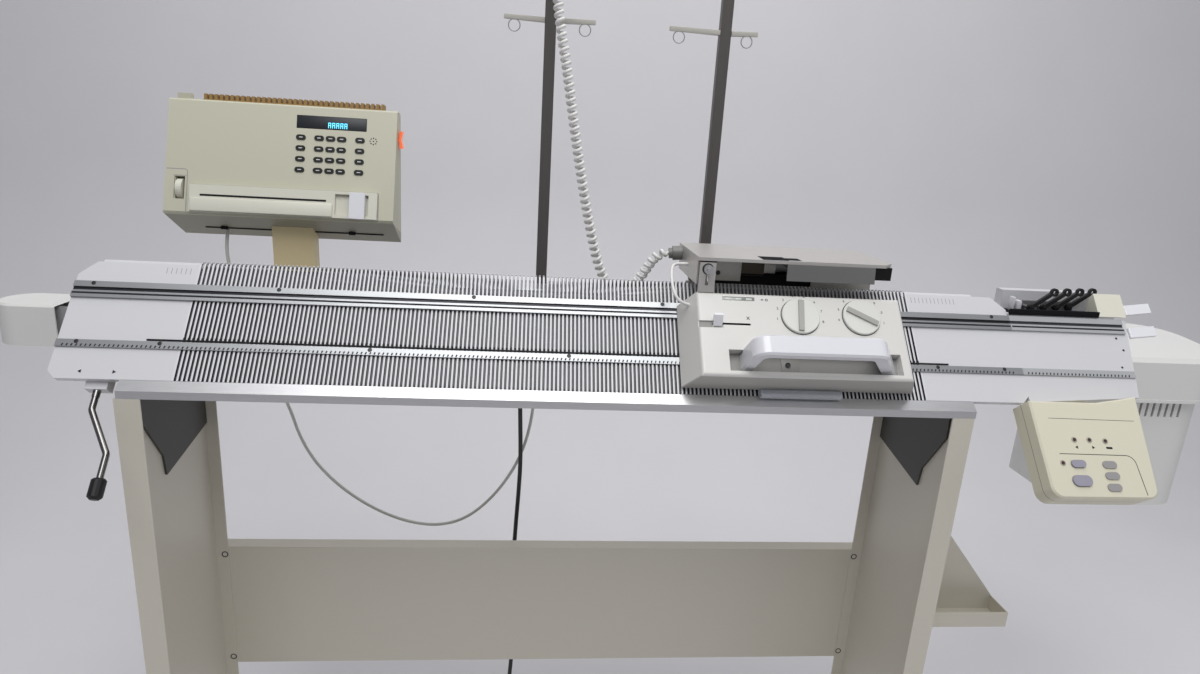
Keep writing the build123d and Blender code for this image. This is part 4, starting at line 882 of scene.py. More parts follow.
@dataclass(frozen=True)
class Studio:
    """Camera, lamps and a pale sweep behind the machine."""

    camera_at: Point = (-51.0, -929.2, 236.1)
    camera_turn: Point = (74.771, -3.317, -4.940)
    focal_pixels: float = 736.95
    picture_width: float = 1200.0
    sensor: float = 36.0
    wall_at: float = 1.9
    wall_height: float = 5.0
    sweep: float = 0.9
    reach: float = 7.0
    sky_colour: Colour = (0.93, 0.94, 1.0)
    sky_strength: float = 0.28
    lamps: tuple[Lamp, ...] = (
        Lamp("key_lamp", (-0.2, -1.2, 3.1), (0.05, 0.0, 0.8), 1.8, 46),
        Lamp("fill_lamp", (2.6, -1.8, 1.9), (0.3, 0.0, 0.8), 2.0, 9),
        Lamp("top_lamp", (0.2, 0.5, 3.2), (0.0, 0.1, 0.6), 2.6, 30))

    def build(self, frame: MachineFrame) -> None:
        """Sets up the whole studio.

        Args:
            frame: the machine's frame.
        """
        self.aim(frame)
        self.light()
        self.floor()
        bpy.context.scene.view_settings.view_transform = "Standard"

    def aim(self, frame: MachineFrame) -> None:
        """Puts the camera where the photograph was taken."""
        Bench.clear()
        bpy.ops.object.camera_add(location=frame.point(self.camera_at),
                                  rotation=[math.radians(angle) for angle in self.camera_turn])
        camera = bpy.context.active_object
        camera.name = "photo_camera"
        camera.data.sensor_width = self.sensor
        camera.data.lens = self.focal_pixels / self.picture_width * self.sensor
        camera.data.clip_end = 50
        bpy.context.scene.camera = camera

    def light(self) -> None:
        """Soft lamps and a dim world."""
        for lamp in self.lamps:
            lamp.light()
        world = bpy.data.worlds.new("studio_world")
        bpy.context.scene.world = world
        world.use_nodes = True
        sky = world.node_tree.nodes["Background"]
        sky.inputs["Color"].default_value = (*self.sky_colour, 1)
        sky.inputs["Strength"].default_value = self.sky_strength

    def floor(self) -> None:
        """Pale floor that curves up into a wall."""
        Bench.clear()
        bpy.ops.mesh.primitive_plane_add(size=2 * self.reach, location=(0, self.wall_at - self.reach, 0))
        sweep = Bench.settle(bpy.context.active_object, "studio_sweep")
        corners = sweep.data.vertices
        Bench.open_where(sweep, "EDGE", lambda edge: min(
            corners[number].co.y for number in edge.vertices) > self.wall_at - 0.01)
        bpy.ops.mesh.extrude_edges_move(TRANSFORM_OT_translate={"value": (0, 0, self.wall_height)})
        Bench.done()
        curve = sweep.modifiers.new("Sweep", "BEVEL")
        curve.width = self.sweep
        curve.segments = 16
        Bench.applied(sweep)
        bpy.ops.object.shade_smooth()
        paint = STUDIO_PALE.material()
        self.clear_back(paint)
        sweep.data.materials.append(paint)

    @staticmethod
    def clear_back(paint: bpy.types.Material) -> None:
        """Makes a paint clear from behind, so that the sweep hides nothing from a camera past it.

        Args:
            paint: the sweep's material.
        """
        graph = Graph(paint.node_tree)
        output = next(node for node in graph.tree.nodes if node.type == "OUTPUT_MATERIAL")
        front = output.inputs["Surface"].links[0].from_socket
        side = graph.add("ShaderNodeNewGeometry")
        clear = graph.add("ShaderNodeBsdfTransparent")
        mix = graph.add("ShaderNodeMixShader")
        graph.feed(mix, {0: side.outputs["Backfacing"], 1: front, 2: clear.outputs[0]})
        graph.feed(output, {"Surface": mix.outputs[0]})


@dataclass(frozen=True)
class CordSet:
    """Cords and cables, with the routes of the CAD tubes."""

    curly_route: tuple[Point, ...] = (
        (-27, 130, 446), (-27, 130, 414), (-19, 124, 366), (-9, 116, 318), (0, 110, 264),
        (10, 105, 210), (21, 101, 156), (33, 97, 104), (46, 94, 58), (63, 88, 27), (86, 78, 27),
        (103, 64, 54), (114, 54, 78), (123, 47, 89), (135, 46, 90))
    curly_outer: float = 15.0
    curly_wire: float = 5.0
    curly_pitch: float = 9.4
    curly_steps: int = 14
    loop_route: tuple[Point, ...] = (
        (152, 0, 84), (142, 0, 84), (132, -8, 84), (127, -24, 79), (125, -41, 69), (126, -54, 57),
        (134.03, -59.64, 45.67), (146.07, -55.88, 42.51))
    loop_wire: float = 4.0
    link_route: tuple[Point, ...] = (
        (-492, 196, 72.947), (-492, 185.087, 54.007), (-490, 184, 22), (-484, 187, -22), (-474, 191, -72),
        (-457, 195, -118), (-436, 198, -162), (-419, 200, -208), (-408, 201, -252), (-388, 201, -294),
        (-357, 201, -332), (-318, 201, -365), (-274, 201, -391), (-228, 201, -407), (-184, 201, -410),
        (-143, 200, -396), (-106, 199, -363), (-75, 198, -320), (-52, 197, -271), (-40, 195, -218),
        (-36, 191, -166), (-33, 184, -118), (-33, 184, -76))
    link_wire: float = 5.0
    lead_route: tuple[Point, ...] = (
        (-60, 160, -76), (-60, 160, -114), (-59, 170, -170), (-57, 180, -225), (-55, 186, -285),
        (-57, 188, -345), (-60, 189, -405), (-62, 190, -465), (-60, 191, -525), (-58, 190, -580),
        (-59, 187, -634), (-62, 180, -686), (-66, 169, -732), (-68, 156, -773), (-64, 144, -806),
        (-50, 134, -828), (-31, 126, -834.4), (-12, 122, -834.4), (2, 126.5, -834.4))
    lead_wire: float = 7.0
    coil_middle: tuple[float, float] = (6.0, 172.0)
    coil_radii: tuple[float, float] = (43.5, 36.5)
    coil_steps: int = 14
    coil_start: float = math.radians(-70)
    coil_end: float = math.radians(82)
    coil_climb: float = 0.75
    plug_width: float = 26.0
    plug_height: float = 16.0
    pin_offset: float = 9.5
    relief_radius: float = 6.4
    relief_length: float = 26.0
    relief_taper: float = 0.68

    @staticmethod
    def spline(name: str, path: Sequence[Vector], wire: float, finish: Finish, resolution: int = 6,
               roundness: int = 3) -> Piece:
        """Makes one smooth cord through its control points.

        Args:
            name: the cord's name.
            path: control points, in metres.
            wire: diameter in millimetres.
            finish: its sheath.
            resolution: steps between two points.
            roundness: bevel resolution of its round section.

        Returns:
            The cord as a curve.
        """
        curve = bpy.data.curves.new(name, "CURVE")
        curve.dimensions = "3D"
        line = curve.splines.new("NURBS")
        line.points.add(len(path) - 1)
        for control, place in zip(line.points, path):
            control.co = (*place, 1)
        line.order_u = 3
        line.use_endpoint_u = True
        curve.resolution_u = resolution
        curve.bevel_depth = wire / 2 * MM
        curve.bevel_resolution = roundness
        curve.use_fill_caps = True
        cord = bpy.data.objects.new(name, curve)
        bpy.context.scene.collection.objects.link(cord)
        cord.data.materials.append(finish.material())
        return cord

    def centreline(self, points: Sequence[Point], frame: MachineFrame) -> list[Vector]:
        """Points along a route's smooth spline, in metres."""
        bare = self.spline("route_line", frame.points(points), 0.0, CORD_WHITE, 16)
        mesh = bpy.data.meshes.new_from_object(bare)
        line = [vertex.co.copy() for vertex in mesh.vertices]
        bpy.data.objects.remove(bare, do_unlink=True)
        bpy.data.meshes.remove(mesh)
        return line

    @staticmethod
    def evenly(line: Sequence[Vector], step: float) -> list[Vector]:
        """Points on a line at even distances.

        Args:
            line: the line's points.
            step: distance between the new points.

        Returns:
            The new points, from the first to the last.
        """
        total = sum((b - a).length for a, b in zip(line, line[1:]))
        count = max(2, round(total / step))
        wanted = [total * number / count for number in range(count + 1)]
        made, walked, here = [], 0.0, 0
        for distance in wanted:
            while here < len(line) - 2 and walked + (line[here + 1] - line[here]).length < distance:
                walked += (line[here + 1] - line[here]).length
                here += 1
            share = (distance - walked) / max(1e-9, (line[here + 1] - line[here]).length)
            made.append(line[here].lerp(line[here + 1], min(1.0, max(0.0, share))))
        return made

    def helix(self, frame: MachineFrame) -> list[Vector]:
        """Centreline of the curly cord's wire, wound round its route.

        Args:
            frame: the machine's frame.

        Returns:
            Points of the helix, in metres.
        """
        per_turn = self.curly_steps
        line = self.evenly(self.centreline(self.curly_route, frame), self.curly_pitch * MM / per_turn)
        radius = (self.curly_outer - self.curly_wire) / 2 * MM
        side = Vector((0, -1, 0))
        points = []
        for number, here in enumerate(line):
            ahead = line[min(number + 1, len(line) - 1)] - line[max(number - 1, 0)]
            ahead.normalize()
            side = (side - ahead * side.dot(ahead)).normalized()
            angle = 2 * math.pi * number / per_turn
            ease = min(1.0, number / per_turn, (len(line) - 1 - number) / per_turn)
            out = side * math.cos(angle) + ahead.cross(side) * math.sin(angle)
            points.append(here + out * radius * ease)
        return points

    def curly(self, frame: MachineFrame) -> None:
        """The curly cord between the left mast and the lock."""
        path = self.helix(frame)
        Bench.pick(self.spline("curly_cord", path, self.curly_wire, CORD_WHITE, 1, 2))
        bpy.ops.object.convert(target="MESH")
        cord = bpy.context.active_object
        bpy.ops.object.shade_smooth()
        top, low = frame.point(self.curly_route[0]), frame.point(self.curly_route[-5])
        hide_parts("lock_cord")
        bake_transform(cord)

    def loop(self, frame: MachineFrame) -> None:
        """The thin loop cable at the lock's left."""
        cord = self.spline("loop_cord", frame.points(self.loop_route), self.loop_wire, CORD_WHITE)
        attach(cord, Body.LOCK.value)
        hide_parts("loop_cable")
        frame.point(self.loop_route[0])

    def link(self, frame: MachineFrame) -> None:
        """The white cable that hangs from the console under the beds."""
        cord = self.spline("link_cord", frame.points(self.link_route), self.link_wire, CABLE_WHITE)
        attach(cord, Body.STAND.value)
        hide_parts("link_cable")
        frame.point(self.link_route[0])

    def coil_points(self) -> list[Point]:
        """The put-away coil's turns, and the short run from its last turn to the plug.

        Returns:
            Control points in the machine's drawing.
        """
        x, y = self.coil_middle
        outer, inner = self.coil_radii
        wire = self.lead_wire
        floor = FLOOR + wire / 2 + 0.1
        turns = [(outer, 0), (inner, 0), (inner, 1), (outer, 1), (outer, 2)]
        fit = 1 / math.cos(math.pi / self.coil_steps)
        points = []
        for number in range(self.coil_steps * len(turns)):
            angle = self.coil_start + 2 * math.pi * number / self.coil_steps
            past_end = math.remainder(angle - self.coil_end, 2 * math.pi) > 0
            if past_end and number > self.coil_steps * (len(turns) - 0.6):
                break
            turn, share = divmod(number / self.coil_steps, 1)
            here, after = turns[int(turn)], turns[min(int(turn) + 1, len(turns) - 1)]
            move = max(0.0, (share - self.coil_climb) / (1 - self.coil_climb))
            radius = (here[0] + (after[0] - here[0]) * move) * fit
            layer = here[1] + (after[1] - here[1]) * move
            points.append((x + radius * math.cos(angle), y + radius * math.sin(angle), floor + layer * wire))
        tail_y, neck = y + outer, FLOOR + self.plug_height / 2
        points += [(x - 12, tail_y, floor + 11), (x - 30, tail_y, floor + 6), (x - 46, tail_y, neck),
                   (x - 58, tail_y, neck)]
        return points

    def lead(self, fitter: Fitter) -> None:
        """The black mains lead with its coil, its strain relief and its plug."""
        frame = fitter.frame
        route = frame.points((*self.lead_route, *self.coil_points()))
        cord = self.spline("mains_cord", route, self.lead_wire, CORD_BLACK)
        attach(cord, Body.STAND.value)
        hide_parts("mains_lead", "mains_coil")
        relief = self.relief(fitter)
        plug = self.plug(fitter)
        frame.point(self.lead_route[0])

    def relief(self, fitter: Fitter) -> Piece:
        """Tapered strain relief where the lead leaves the track."""
        x, y, z = self.lead_route[0]
        sleeve = Bench.disc("lead_strain_relief", (x, y, z), self.relief_radius, -self.relief_length, 28)
        for vertex in sleeve.data.vertices:
            if vertex.co.z < z - self.relief_length / 2:
                vertex.co.x = x + (vertex.co.x - x) * self.relief_taper
                vertex.co.y = y + (vertex.co.y - y) * self.relief_taper
        Bench.rounded(sleeve, 0.8)
        return fitter.fit(sleeve, fitter.frame.upright(), CORD_BLACK, Body.STAND, "cord_black")

    def plug(self, fitter: Fitter) -> Piece:
        """Flat two-pin plug with a waisted body and brass-tipped pins."""
        x, y = self.coil_middle
        y += self.coil_radii[0]
        half, middle = self.plug_width / 2, FLOOR + self.plug_height / 2
        body = Bench.block("mains_plug_body", (x - 96, y - half, FLOOR),
                           (x - 60, y + half, FLOOR + self.plug_height))
        Bench.tapered(body, (1, 0, 0), (1, 0.55, 0.75))
        Bench.rounded(body, 3.0, 3)
        neck = Bench.disc("plug_neck", (x - 62, y, middle), 4.9, 20, 24, 0.6, "X")
        pins = [Bench.disc("plug_pin", (x - 114.5, y + side * self.pin_offset, middle), 2.0, 19, 20, 0.7, "X")
                for side in (-1, 1)]
        whole = Bench.joined([body, neck], "mains_plug_body")
        pair = Bench.joined(pins, "mains_plug_pins")
        place = fitter.frame.upright()
        fitter.fit(whole, place, CORD_BLACK, Body.STAND, "cord_black")
        fitter.fit(pair, place, PIN_BRASS, Body.STAND, "cord_black")
        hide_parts("mains_plug")
        pair.parent = whole
        pair.matrix_parent_inverse = Matrix.Identity(4)
        return whole

    def build(self, fitter: Fitter) -> None:
        """Makes every cord."""
        self.curly(fitter.frame)
        self.loop(fitter.frame)
        self.link(fitter.frame)
        self.lead(fitter)
        fitter.dress("cord_connector", CONNECTOR_GREY)


@dataclass(frozen=True)
class StandDress(Dress):
    """Finishes and screws of the stand."""

    panel_top: float = -391.0
    panel_bottom: float = -596.0
    panel_face: float = 100.0
    screw_x: float = 493.0
    screw_inset: float = 12.0
    finishes: ClassVar[dict[str, Finish]] = {
        "feet": FOOT_RUBBER, "leg_left": STAND_PAINT, "leg_right": STAND_PAINT, "back_panel": STAND_PAINT,
        "side_tray": STAND_PAINT, "bed_frame": BRACKET_PAINTED_SHADE, "front_rail": RAIL_METAL,
        "back_rail": RAIL_METAL}

    def add(self) -> None:
        """Adds four cross-head screws in the corners of the back panel."""
        head = Bench.disc("panel_screws", (0, 0, 0), 5.0, -2.6, 24, 0.8, "Y")
        Bench.sunk(head, (0, -1, 0), 1.6, 0.9)
        rows = (self.panel_top - self.screw_inset, self.panel_bottom + self.screw_inset)
        places = [(side * self.screw_x, self.panel_face, z) for side in (-1, 1) for z in rows]
        self.upright(SCREW_BLACK, "stand_paint", Bench.spread(head, places, "panel_screws"))


@dataclass(frozen=True)
class BedDress(Dress):
    """Finishes of both beds, their needles and their printed scales."""

    needle_width: float = 0.9
    needle_span: tuple[float, float] = (-72.0, 70.0)
    needle_top: float = -1.5
    butt_span: tuple[float, float] = (-27.2, -22.0)
    butt_half: float = 1.3
    butt_top: float = 1.4
    middle_screws: tuple[float, ...] = (-560, -470, -235, 0, 235, 470, 560)
    upper_screws: tuple[float, ...] = (-560, -350, -118, 118, 350, 560)
    middle_seat: tuple[float, float] = (-30.5, 1.7)
    upper_seat: tuple[float, float] = (44.2, 2.55)
    scale_rows: tuple[tuple[float, int], ...] = ((-484, 6), (454, 12))
    scale_step: float = 5.4
    front_reach: tuple[float, float] = (-582.0, 585.0)
    back_reach: tuple[float, float] = (-566.0, 582.0)
    finishes: ClassVar[dict[str, Finish]] = {
        "front_bed": COMB_FRONT, "back_bed": COMB_BACK, "front_rails": SLIDE_FRONT, "back_rails": SLIDE_BACK,
        "front_plates": PLATE_WHITE, "back_plates": PLATE_WHITE, "crank": CHROME,
        "crank_knob": BLACK_PLASTIC}

    def add(self) -> None:
        """Adds needles, scale marks and screws."""
        frame = self.fitter.frame
        self.needles("front", frame.front(), Body.STAND)
        self.needles("back", frame.back(), Body.BACK_BED)
        self.rail_lines("front", frame.front(), Body.STAND, self.front_reach)
        self.rail_lines("back", frame.back(), Body.BACK_BED, self.back_reach)
        self.plate_screws()
        self.scale()
        self.crank_signs()

    def needles(self, side: str, place: Matrix, body: Body) -> None:
        """One steel shank in every channel, with its black butt over the middle rail.

        Args:
            side: the bed's name.
            place: matrix of the bed.
            body: the bed's body.
        """
        low, high = self.needle_span
        half = self.needle_width / 2
        first = -(CHANNELS - 1) / 2 * PITCH
        spots = [(first + number * PITCH, 0, 0) for number in range(CHANNELS)]
        shank = Bench.block("shank", (-half, low, -RIB_DEPTH), (half, high, self.needle_top))
        shanks = Bench.spread(shank, spots, f"{side}_needles")
        self.fitter.fit(shanks, place, NEEDLE_STEEL, body, "slide_steel")
        y0, y1 = self.butt_span
        butt = Bench.block("butt", (-self.butt_half, y0, self.needle_top - 0.2),
                           (self.butt_half, y1, self.butt_top))
        butts = Bench.spread(butt, spots, f"{side}_butts")
        self.fitter.fit(butts, place, DARK_PARTS_AND_SHADE, body, "slide_steel")

    def rail_lines(self, side: str, place: Matrix, body: Body, reach: tuple[float, float]) -> None:
        """The dark line and the slanted ticks of one bed's rails.

        Args:
            side: the bed's name.
            place: matrix of the bed.
            body: the bed's body.
            reach: the rail's two ends.
        """
        left, right = reach
        count = int((right - left - 14) / PITCH)
        lines = Bench.slide_lines(f"{side}_rail_lines", (left + 1, right - 1), left + 8, count)
        self.fitter.fit(lines, place, PRINT_DARK, body, "slide_steel")

    def plate_screws(self) -> None:
        """Countersunk screws in the middle rail and in the upper one."""
        head = Bench.disc("rail_screws", (0, 0, 0), 2.6, 0.6, 20, 0.1)
        Bench.sunk(head, (0, 0, 1), 0.9, 0.06)
        spots = [(x, *self.middle_seat) for x in self.middle_screws]
        spots += [(x, *self.upper_seat) for x in self.upper_screws]
        self.front(SCREW_BLACK, "slide_steel", Bench.spread(head, spots, "rail_screws"))

    def scale(self) -> None:
        """Printed marks along the upper edges of the two front end plates, and the black needle stop."""
        mark = Bench.block("scale_marks", (-0.35, 62, 0), (0.35, 70, PRINT_THICK))
        spots = [(start + number * self.scale_step, 0, 0)
                 for start, count in self.scale_rows for number in range(count)]
        self.front(PRINT_GREY, "plate_white", Bench.spread(mark, spots, "scale_marks"))
        stop = Bench.block("butt_stop", (-486, -26.6, 0), (486, -24.6, 1.5), 0.4)
        self.front(DARK_PARTS_AND_SHADE, "plate_white", stop)

    def crank_signs(self) -> None:
        """Two small arrows printed beside the crank's bearing."""
        signs = [Bench.arrow("crank_signs", (x, -66, 0), 2.6, turn) for x, turn in ((-548, 90), (-512, 270))]
        self.front(PRINT_DARK, "plate_white", *signs)


@dataclass(frozen=True)
class LockDress(Dress):
    """Finishes of the lock and its marks, window and screws."""

    body: ClassVar[Body] = Body.LOCK
    top: float = 45.0
    left_dial: tuple[float, float] = (279.0, 12.5)
    right_dial: tuple[float, float] = (356.5, 14.0)
    dial_radius: float = 23.5
    dial_start: float = 188.0
    dial_sweep: float = 200.0
    lever_recess: tuple[float, float, float, float] = (153.0, 169.2, -5.8, 2.8)
    recess_depth: float = 12.0
    finishes: ClassVar[dict[str, Finish]] = {
        "lock_cover": LOCK_PLASTIC_SHADED_FRONT, "back_lock": BACK_LOCK_PLASTIC, "lock_handle": HANDLE_WHITE,
        "lock_lever": HANDLE_WHITE, "dial_left": DIAL_WHITE, "dial_right": DIAL_WHITE,
        "release_tab": CLEAR_TAB, "bridge": BRIDGE_STEEL, "bridge_nut": RAIL_METAL,
        "yarn_feeder": FEEDER_STEEL, "drive_arm": BRIDGE_STEEL}

    def add(self) -> None:
        """Adds the lock's small pieces."""
        self.dial_marks("left_dial_marks", self.left_dial, "12345678")
        self.dial_marks("right_dial_marks", self.right_dial, "45678901")
        self.window()
        self.lever_seat()
        self.recess_screw()
        self.brushes()
        self.bridge_shades()

    def dial_marks(self, name: str, centre: tuple[float, float], figures: str) -> None:
        """Figures round a dial, and the dark line about its rim.

        Args:
            name: the piece's name.
            centre: the dial's middle on the bed's slope.
            figures: one figure for each place, clockwise from the left.
        """
        x, y = centre
        marks = [Bench.ring(name, (x, y, self.top), self.dial_radius + 0.9, 0.8, 0.12, 56)]
        out = self.dial_radius + 5.6
        for number, figure in enumerate(figures):
            angle = math.radians(self.dial_start - number * self.dial_sweep / (len(figures) - 1))
            spot = (x + out * math.cos(angle), y + out * math.sin(angle), self.top + 0.05)
            marks.append(Bench.lettering(name, figure, Matrix.Translation(spot), 5.0))
        self.front(PRINT_DARK, "lock_plastic", *marks)

    def window(self) -> None:
        """Small window with its panes, and the marks beside it."""
        glass = Bench.block("lock_window", (184.4, 31.8, self.top - 1.4), (223.6, 36.2, self.top - 0.3), 0.3)
        self.front(WINDOW_GLASS, "lock_plastic", glass)
        pane = Bench.block("window_panes", (-3.6, -1.3, 0), (3.6, 1.3, 0.25), 0.1)
        spots = [(x, 33.9, self.top - 0.35) for x in (191.5, 204, 217)]
        self.front(WINDOW_PANE, "lock_plastic", Bench.spread(pane, spots, "window_panes"))
        cross = Matrix.Translation((213.5, 8.5, self.top + 0.05))
        signs = [Bench.block("window_signs", (232, 33, self.top), (234.6, 34.4, self.top + 0.1)),
                 Bench.ring("window_signs", (239, 33.6, self.top), 1.7, 0.7, 0.1, 20),
                 Bench.lettering("window_signs", "x", cross, 9.0)]
        self.front(PRINT_DARK, "lock_plastic", *signs)

    def lever_seat(self) -> None:
        """Painted shade in the lever's recess, as a grey floor, and in its slot, as a black floor and walls."""
        x0, x1, y0, y1 = self.lever_recess
        # Painted shade: a grey floor makes the lever's recess look shaded.
        floor = Bench.block("lever_floor_painted_shade", (x0, y0, self.top - 2), (x1, y1, self.top - 1.85))
        self.front(RECESS_GREY_AND_SHADE, "lock_plastic", floor)
        # Painted shade: black floor and walls make the deep slot look dark.
        bottom = self.top - 4
        walls = [Bench.block("lever_slot_painted_shade", (182.2, -1.8, bottom), (215.8, 0.8, bottom + 0.12)),
                 Bench.block("lever_slot_painted_shade", (182.2, -1.8, bottom), (215.8, -1.7, self.top - 0.1)),
                 Bench.block("lever_slot_painted_shade", (182.2, 0.7, bottom), (215.8, 0.8, self.top - 0.1))]
        self.front(DARK_PARTS_AND_SHADE, "lock_plastic", *walls)

    def recess_screw(self) -> None:
        """Grey floor of the handle's recess, with a dark screw on its raised pad."""
        floor = self.top - self.recess_depth
        sheet = Bench.block("recess_floor", (186.4, -60.6, floor), (397.6, -34.4, floor + 0.15))
        self.front(RECESS_GREY_AND_SHADE, "lock_plastic", sheet)
        pad = Bench.block("recess_pad", (252, -57, floor), (274, -38, floor + 1.2), 0.8)
        self.front(RECESS_GREY_AND_SHADE, "lock_plastic", pad)
        head = Bench.disc("recess_screw", (260, -48, floor + 1.2), 3.4, 1.4, 24, 0.5)
        self.front(SCREW_BLACK, "lock_plastic", Bench.sunk(head, (0, 0, 1), 1.2, 0.8))

    def brushes(self) -> None:
        """Black brush strips over the pegs, which also paint the shade under the bridge, and the three small
        carrier plates with their black screws.
        """
        # Black strips: the lock's brushes, and painted shade in the dark space under the bridge.
        strips = [Bench.block("lock_brushes_and_shade", (184, -12, 62.5), (317, -8.5, 75), 0.6),
                  Bench.block("lock_brushes_and_shade", (200, 8.5, 62.5), (317, 12, 75), 0.6),
                  Bench.block("lock_brushes_and_shade", (184, -12.2, 74.6), (384, 12.2, 77), 0.6)]
        self.upright(BRISTLE_BLACK_AND_SHADE, "bridge_steel", *strips)
        left = Bench.block("carrier_plates", (177, -15.5, 67), (219, -12.6, 99.2), 0.5)
        inner = Bench.block("carrier_plates", (244, -9.2, 77.5), (266, -7.4, 98.8), 0.5)
        right = Bench.block("carrier_plates", (311, -20.5, 63), (391, -17.8, 84), 0.5)
        Bench.tapered(right, (0, 0, -1), (0.86, 1, 1))
        self.upright(CARRIER_STEEL, "bridge_steel", left, inner, right)
        screws = [Bench.disc("carrier_screws", (x, y, z), 3.0, -1.0, 20, 0.3, "Y")
                  for x, y, z in ((189, -15.5, 77), (361, -20.5, 73.5))]
        self.upright(SCREW_BLACK, "bridge_steel", *screws)

    def bridge_shades(self) -> None:
        """Dark pieces of the bridge: painted shade in the slot of its top plate, a patch on its top, painted
        shadow in the gap over its left upright, and that upright's washer.
        """
        # Painted shade: a black block fills the slot of the top plate.
        slot_shade = Bench.block("bridge_shade_pieces", (232.3, -56.7, 99.3), (281.7, -38.3, 102.4), 0.3)
        cover = Bench.block("bridge_shade_pieces", (232, -60.5, 103), (264, -34, 103.15))
        # Painted shadow: a black strip in the gap between the top plate's flange and the left upright.
        gap_shadow = Bench.block("bridge_shade_pieces", (153.5, -62.2, 97.2), (174.5, -61.5, 98.9))
        washer = Bench.disc("bridge_shade_pieces", (164, -61.9, 89), 6.9, -0.25, 28, axis="Y")
        self.upright(BRISTLE_BLACK_AND_SHADE, "bridge_steel", slot_shade, cover, gap_shadow, washer)


@dataclass(frozen=True)
class DriveDress(Dress):
    """Finishes of the belt drive.

    Attributes:
        slots: first place, step and width of the motor's cooling slots.
        slot_count: how many there are.
    """

    slots: tuple[float, float, float] = (891.0, 11.0, 4.0)
    slot_count: int = 8
    finishes: ClassVar[dict[str, Finish]] = {
        "belt_track": TRACK_METAL, "belt": BELT_RUBBER, "pulley_left": PULLEY_METAL,
        "pulley_right": PULLEY_METAL, "pulley_housing": MOTOR_WHITE, "motor_housing": MOTOR_WHITE,
        "motor_body": MOTOR_WHITE}

    def add(self) -> None:
        """Adds dark plates in the motor's cooling slots as painted shade."""
        x0, step, wide = self.slots
        # Painted shade: a dark plate in each slot makes it look deep and shaded.
        shade = Bench.block("motor_slot_painted_shade", (0.1, 75.5, -136.8), (wide - 0.1, 77.6, -113.2))
        spots = [(x0 + number * step, 0, 0) for number in range(self.slot_count)]
        self.upright(DARK_PARTS_AND_SHADE, "motor_plastic", Bench.spread(shade, spots, "motor_slot_painted_shade"))


@dataclass(frozen=True)
class ChangerDress(Dress):
    """Finishes and small pieces of the colour changer."""

    ledge: float = 40.0
    end: float = 755.0
    arm_pins: tuple[Point, ...] = ((627, -10.3, 46), (649, -5.7, 46), (671, -1.1, 46), (693, 3.5, 46))
    finishes: ClassVar[dict[str, Finish]] = {
        "changer_plate": EXTENSION_WHITE, "changer_frame": MECHANISM_LAYERS, "changer_cover": COVER_CREAM,
        "changer_arm_1": BLACK_PLASTIC, "changer_arm_2": BLACK_PLASTIC, "changer_arm_3": BLACK_PLASTIC,
        "changer_arm_4": BLACK_PLASTIC, "changer_tab_upper": HANDLE_WHITE,
        "changer_tab_lower": HANDLE_WHITE}

    def add(self) -> None:
        """Adds the colour changer's small pieces."""
        self.trough()
        self.arm_pieces()
        self.plate_pieces()

    def trough(self) -> None:
        """Black trough with its front wall before the yarn arms, and two grey pawls beside them."""
        low, high = self.ledge, self.ledge + 0.4
        plate = Bench.block("changer_trough", (590, -24.4, low), (714.5, 7, high), 0.15)
        wall = Bench.block("changer_trough", (586, -26.6, low - 0.9), (714.5, -24.2, low + 7), 0.4)
        self.upright(BRISTLE_BLACK_AND_SHADE, "black_plastic", plate, wall)
        pegs = [Bench.block("changer_pawls", (602, -6, self.ledge), (606, 4, self.ledge + 19), 1.2),
                Bench.block("changer_pawls", (608, -9, self.ledge), (614, 2, self.ledge + 15), 1.6)]
        self.upright(MECHANISM_GREY, "mechanism", *pegs)

    def arm_pieces(self) -> None:
        """Black caps on the arms' pins, the first one thicker."""
        caps = [Bench.disc("arm_caps", spot, 3.4, -0.24 if number else -1.6, 24, 0.1, "Y")
                for number, spot in enumerate(self.arm_pins)]
        self.upright(BLACK_PLASTIC, "black_plastic", *caps)

    def plate_pieces(self) -> None:
        """Ticks and line of the extension's rails, and its screws."""
        lines = Bench.slide_lines("extension_lines", (586, self.end - 9), 592, 29)
        self.front(PRINT_DARK, "slide_steel", lines)
        heads = ((733, 20, 0), (738, 3, 0), (728, -22, 0))
        dots = [Bench.disc("extension_screws", spot, 1.5, 0.5, 16, 0.2) for spot in heads]
        self.front(SCREW_BLACK, "plate_white", *dots)


@dataclass(frozen=True)
class ControlBoxDress(Dress):
    """Finishes, lamps and printed lines of the control box."""

    face: float = 22.0
    lamps: tuple[Spot, ...] = ((612, -129), (631.5, -129), (652, -130), (589, -158))
    finishes: ClassVar[dict[str, Finish]] = {
        "control_box": BOX_CREAM, "button_large": KEY_GREY, "button_small": KEY_GREY}

    def add(self) -> None:
        """Adds the box's lamps and lines."""
        spots = [(x, y, self.face) for x, y in self.lamps]
        ring = Bench.disc("lamp_rings", (0, 0, 0), 3.6, 0.5, 28, 0.15)
        self.front(LAMP_RING, "box_cream", Bench.spread(ring, spots, "lamp_rings"))
        lens = Bench.disc("lamp_lenses", (0, 0, 0), 2.3, 1.2, 20, 0.7)
        self.front(LAMP_DARK, "black_plastic", Bench.spread(lens, spots, "lamp_lenses"))
        self.lines()

    def lines(self) -> None:
        """Printed lines and signs on the box."""
        low, high = self.face, self.face + PRINT_THICK
        x, y, radius = 684.0, -147.5, 11.0
        bend = [(x - radius + radius * math.sin(turn), y - radius + radius * math.cos(turn))
                for turn in [math.radians(15 * step) for step in range(7)]]
        frame_line = Bench.strokes("box_lines", [(588, -146.6), *bend, (686, -196)], 0.8, low, high)
        upper = Bench.strokes("box_lines", [(586, -102), (699, -103.5)], 0.5, low, high)
        signs = [Bench.arrow("box_lines", (centre, -138.2, low), 2.4, turn)
                 for centre, turn in ((613, 90), (634, -90))]
        dash = Bench.strokes("box_lines", [(651, -138.4), (659, -138.6)], 2.6, low, high)
        self.front(PRINT_DARK, "black_plastic", frame_line, upper, *signs, dash)


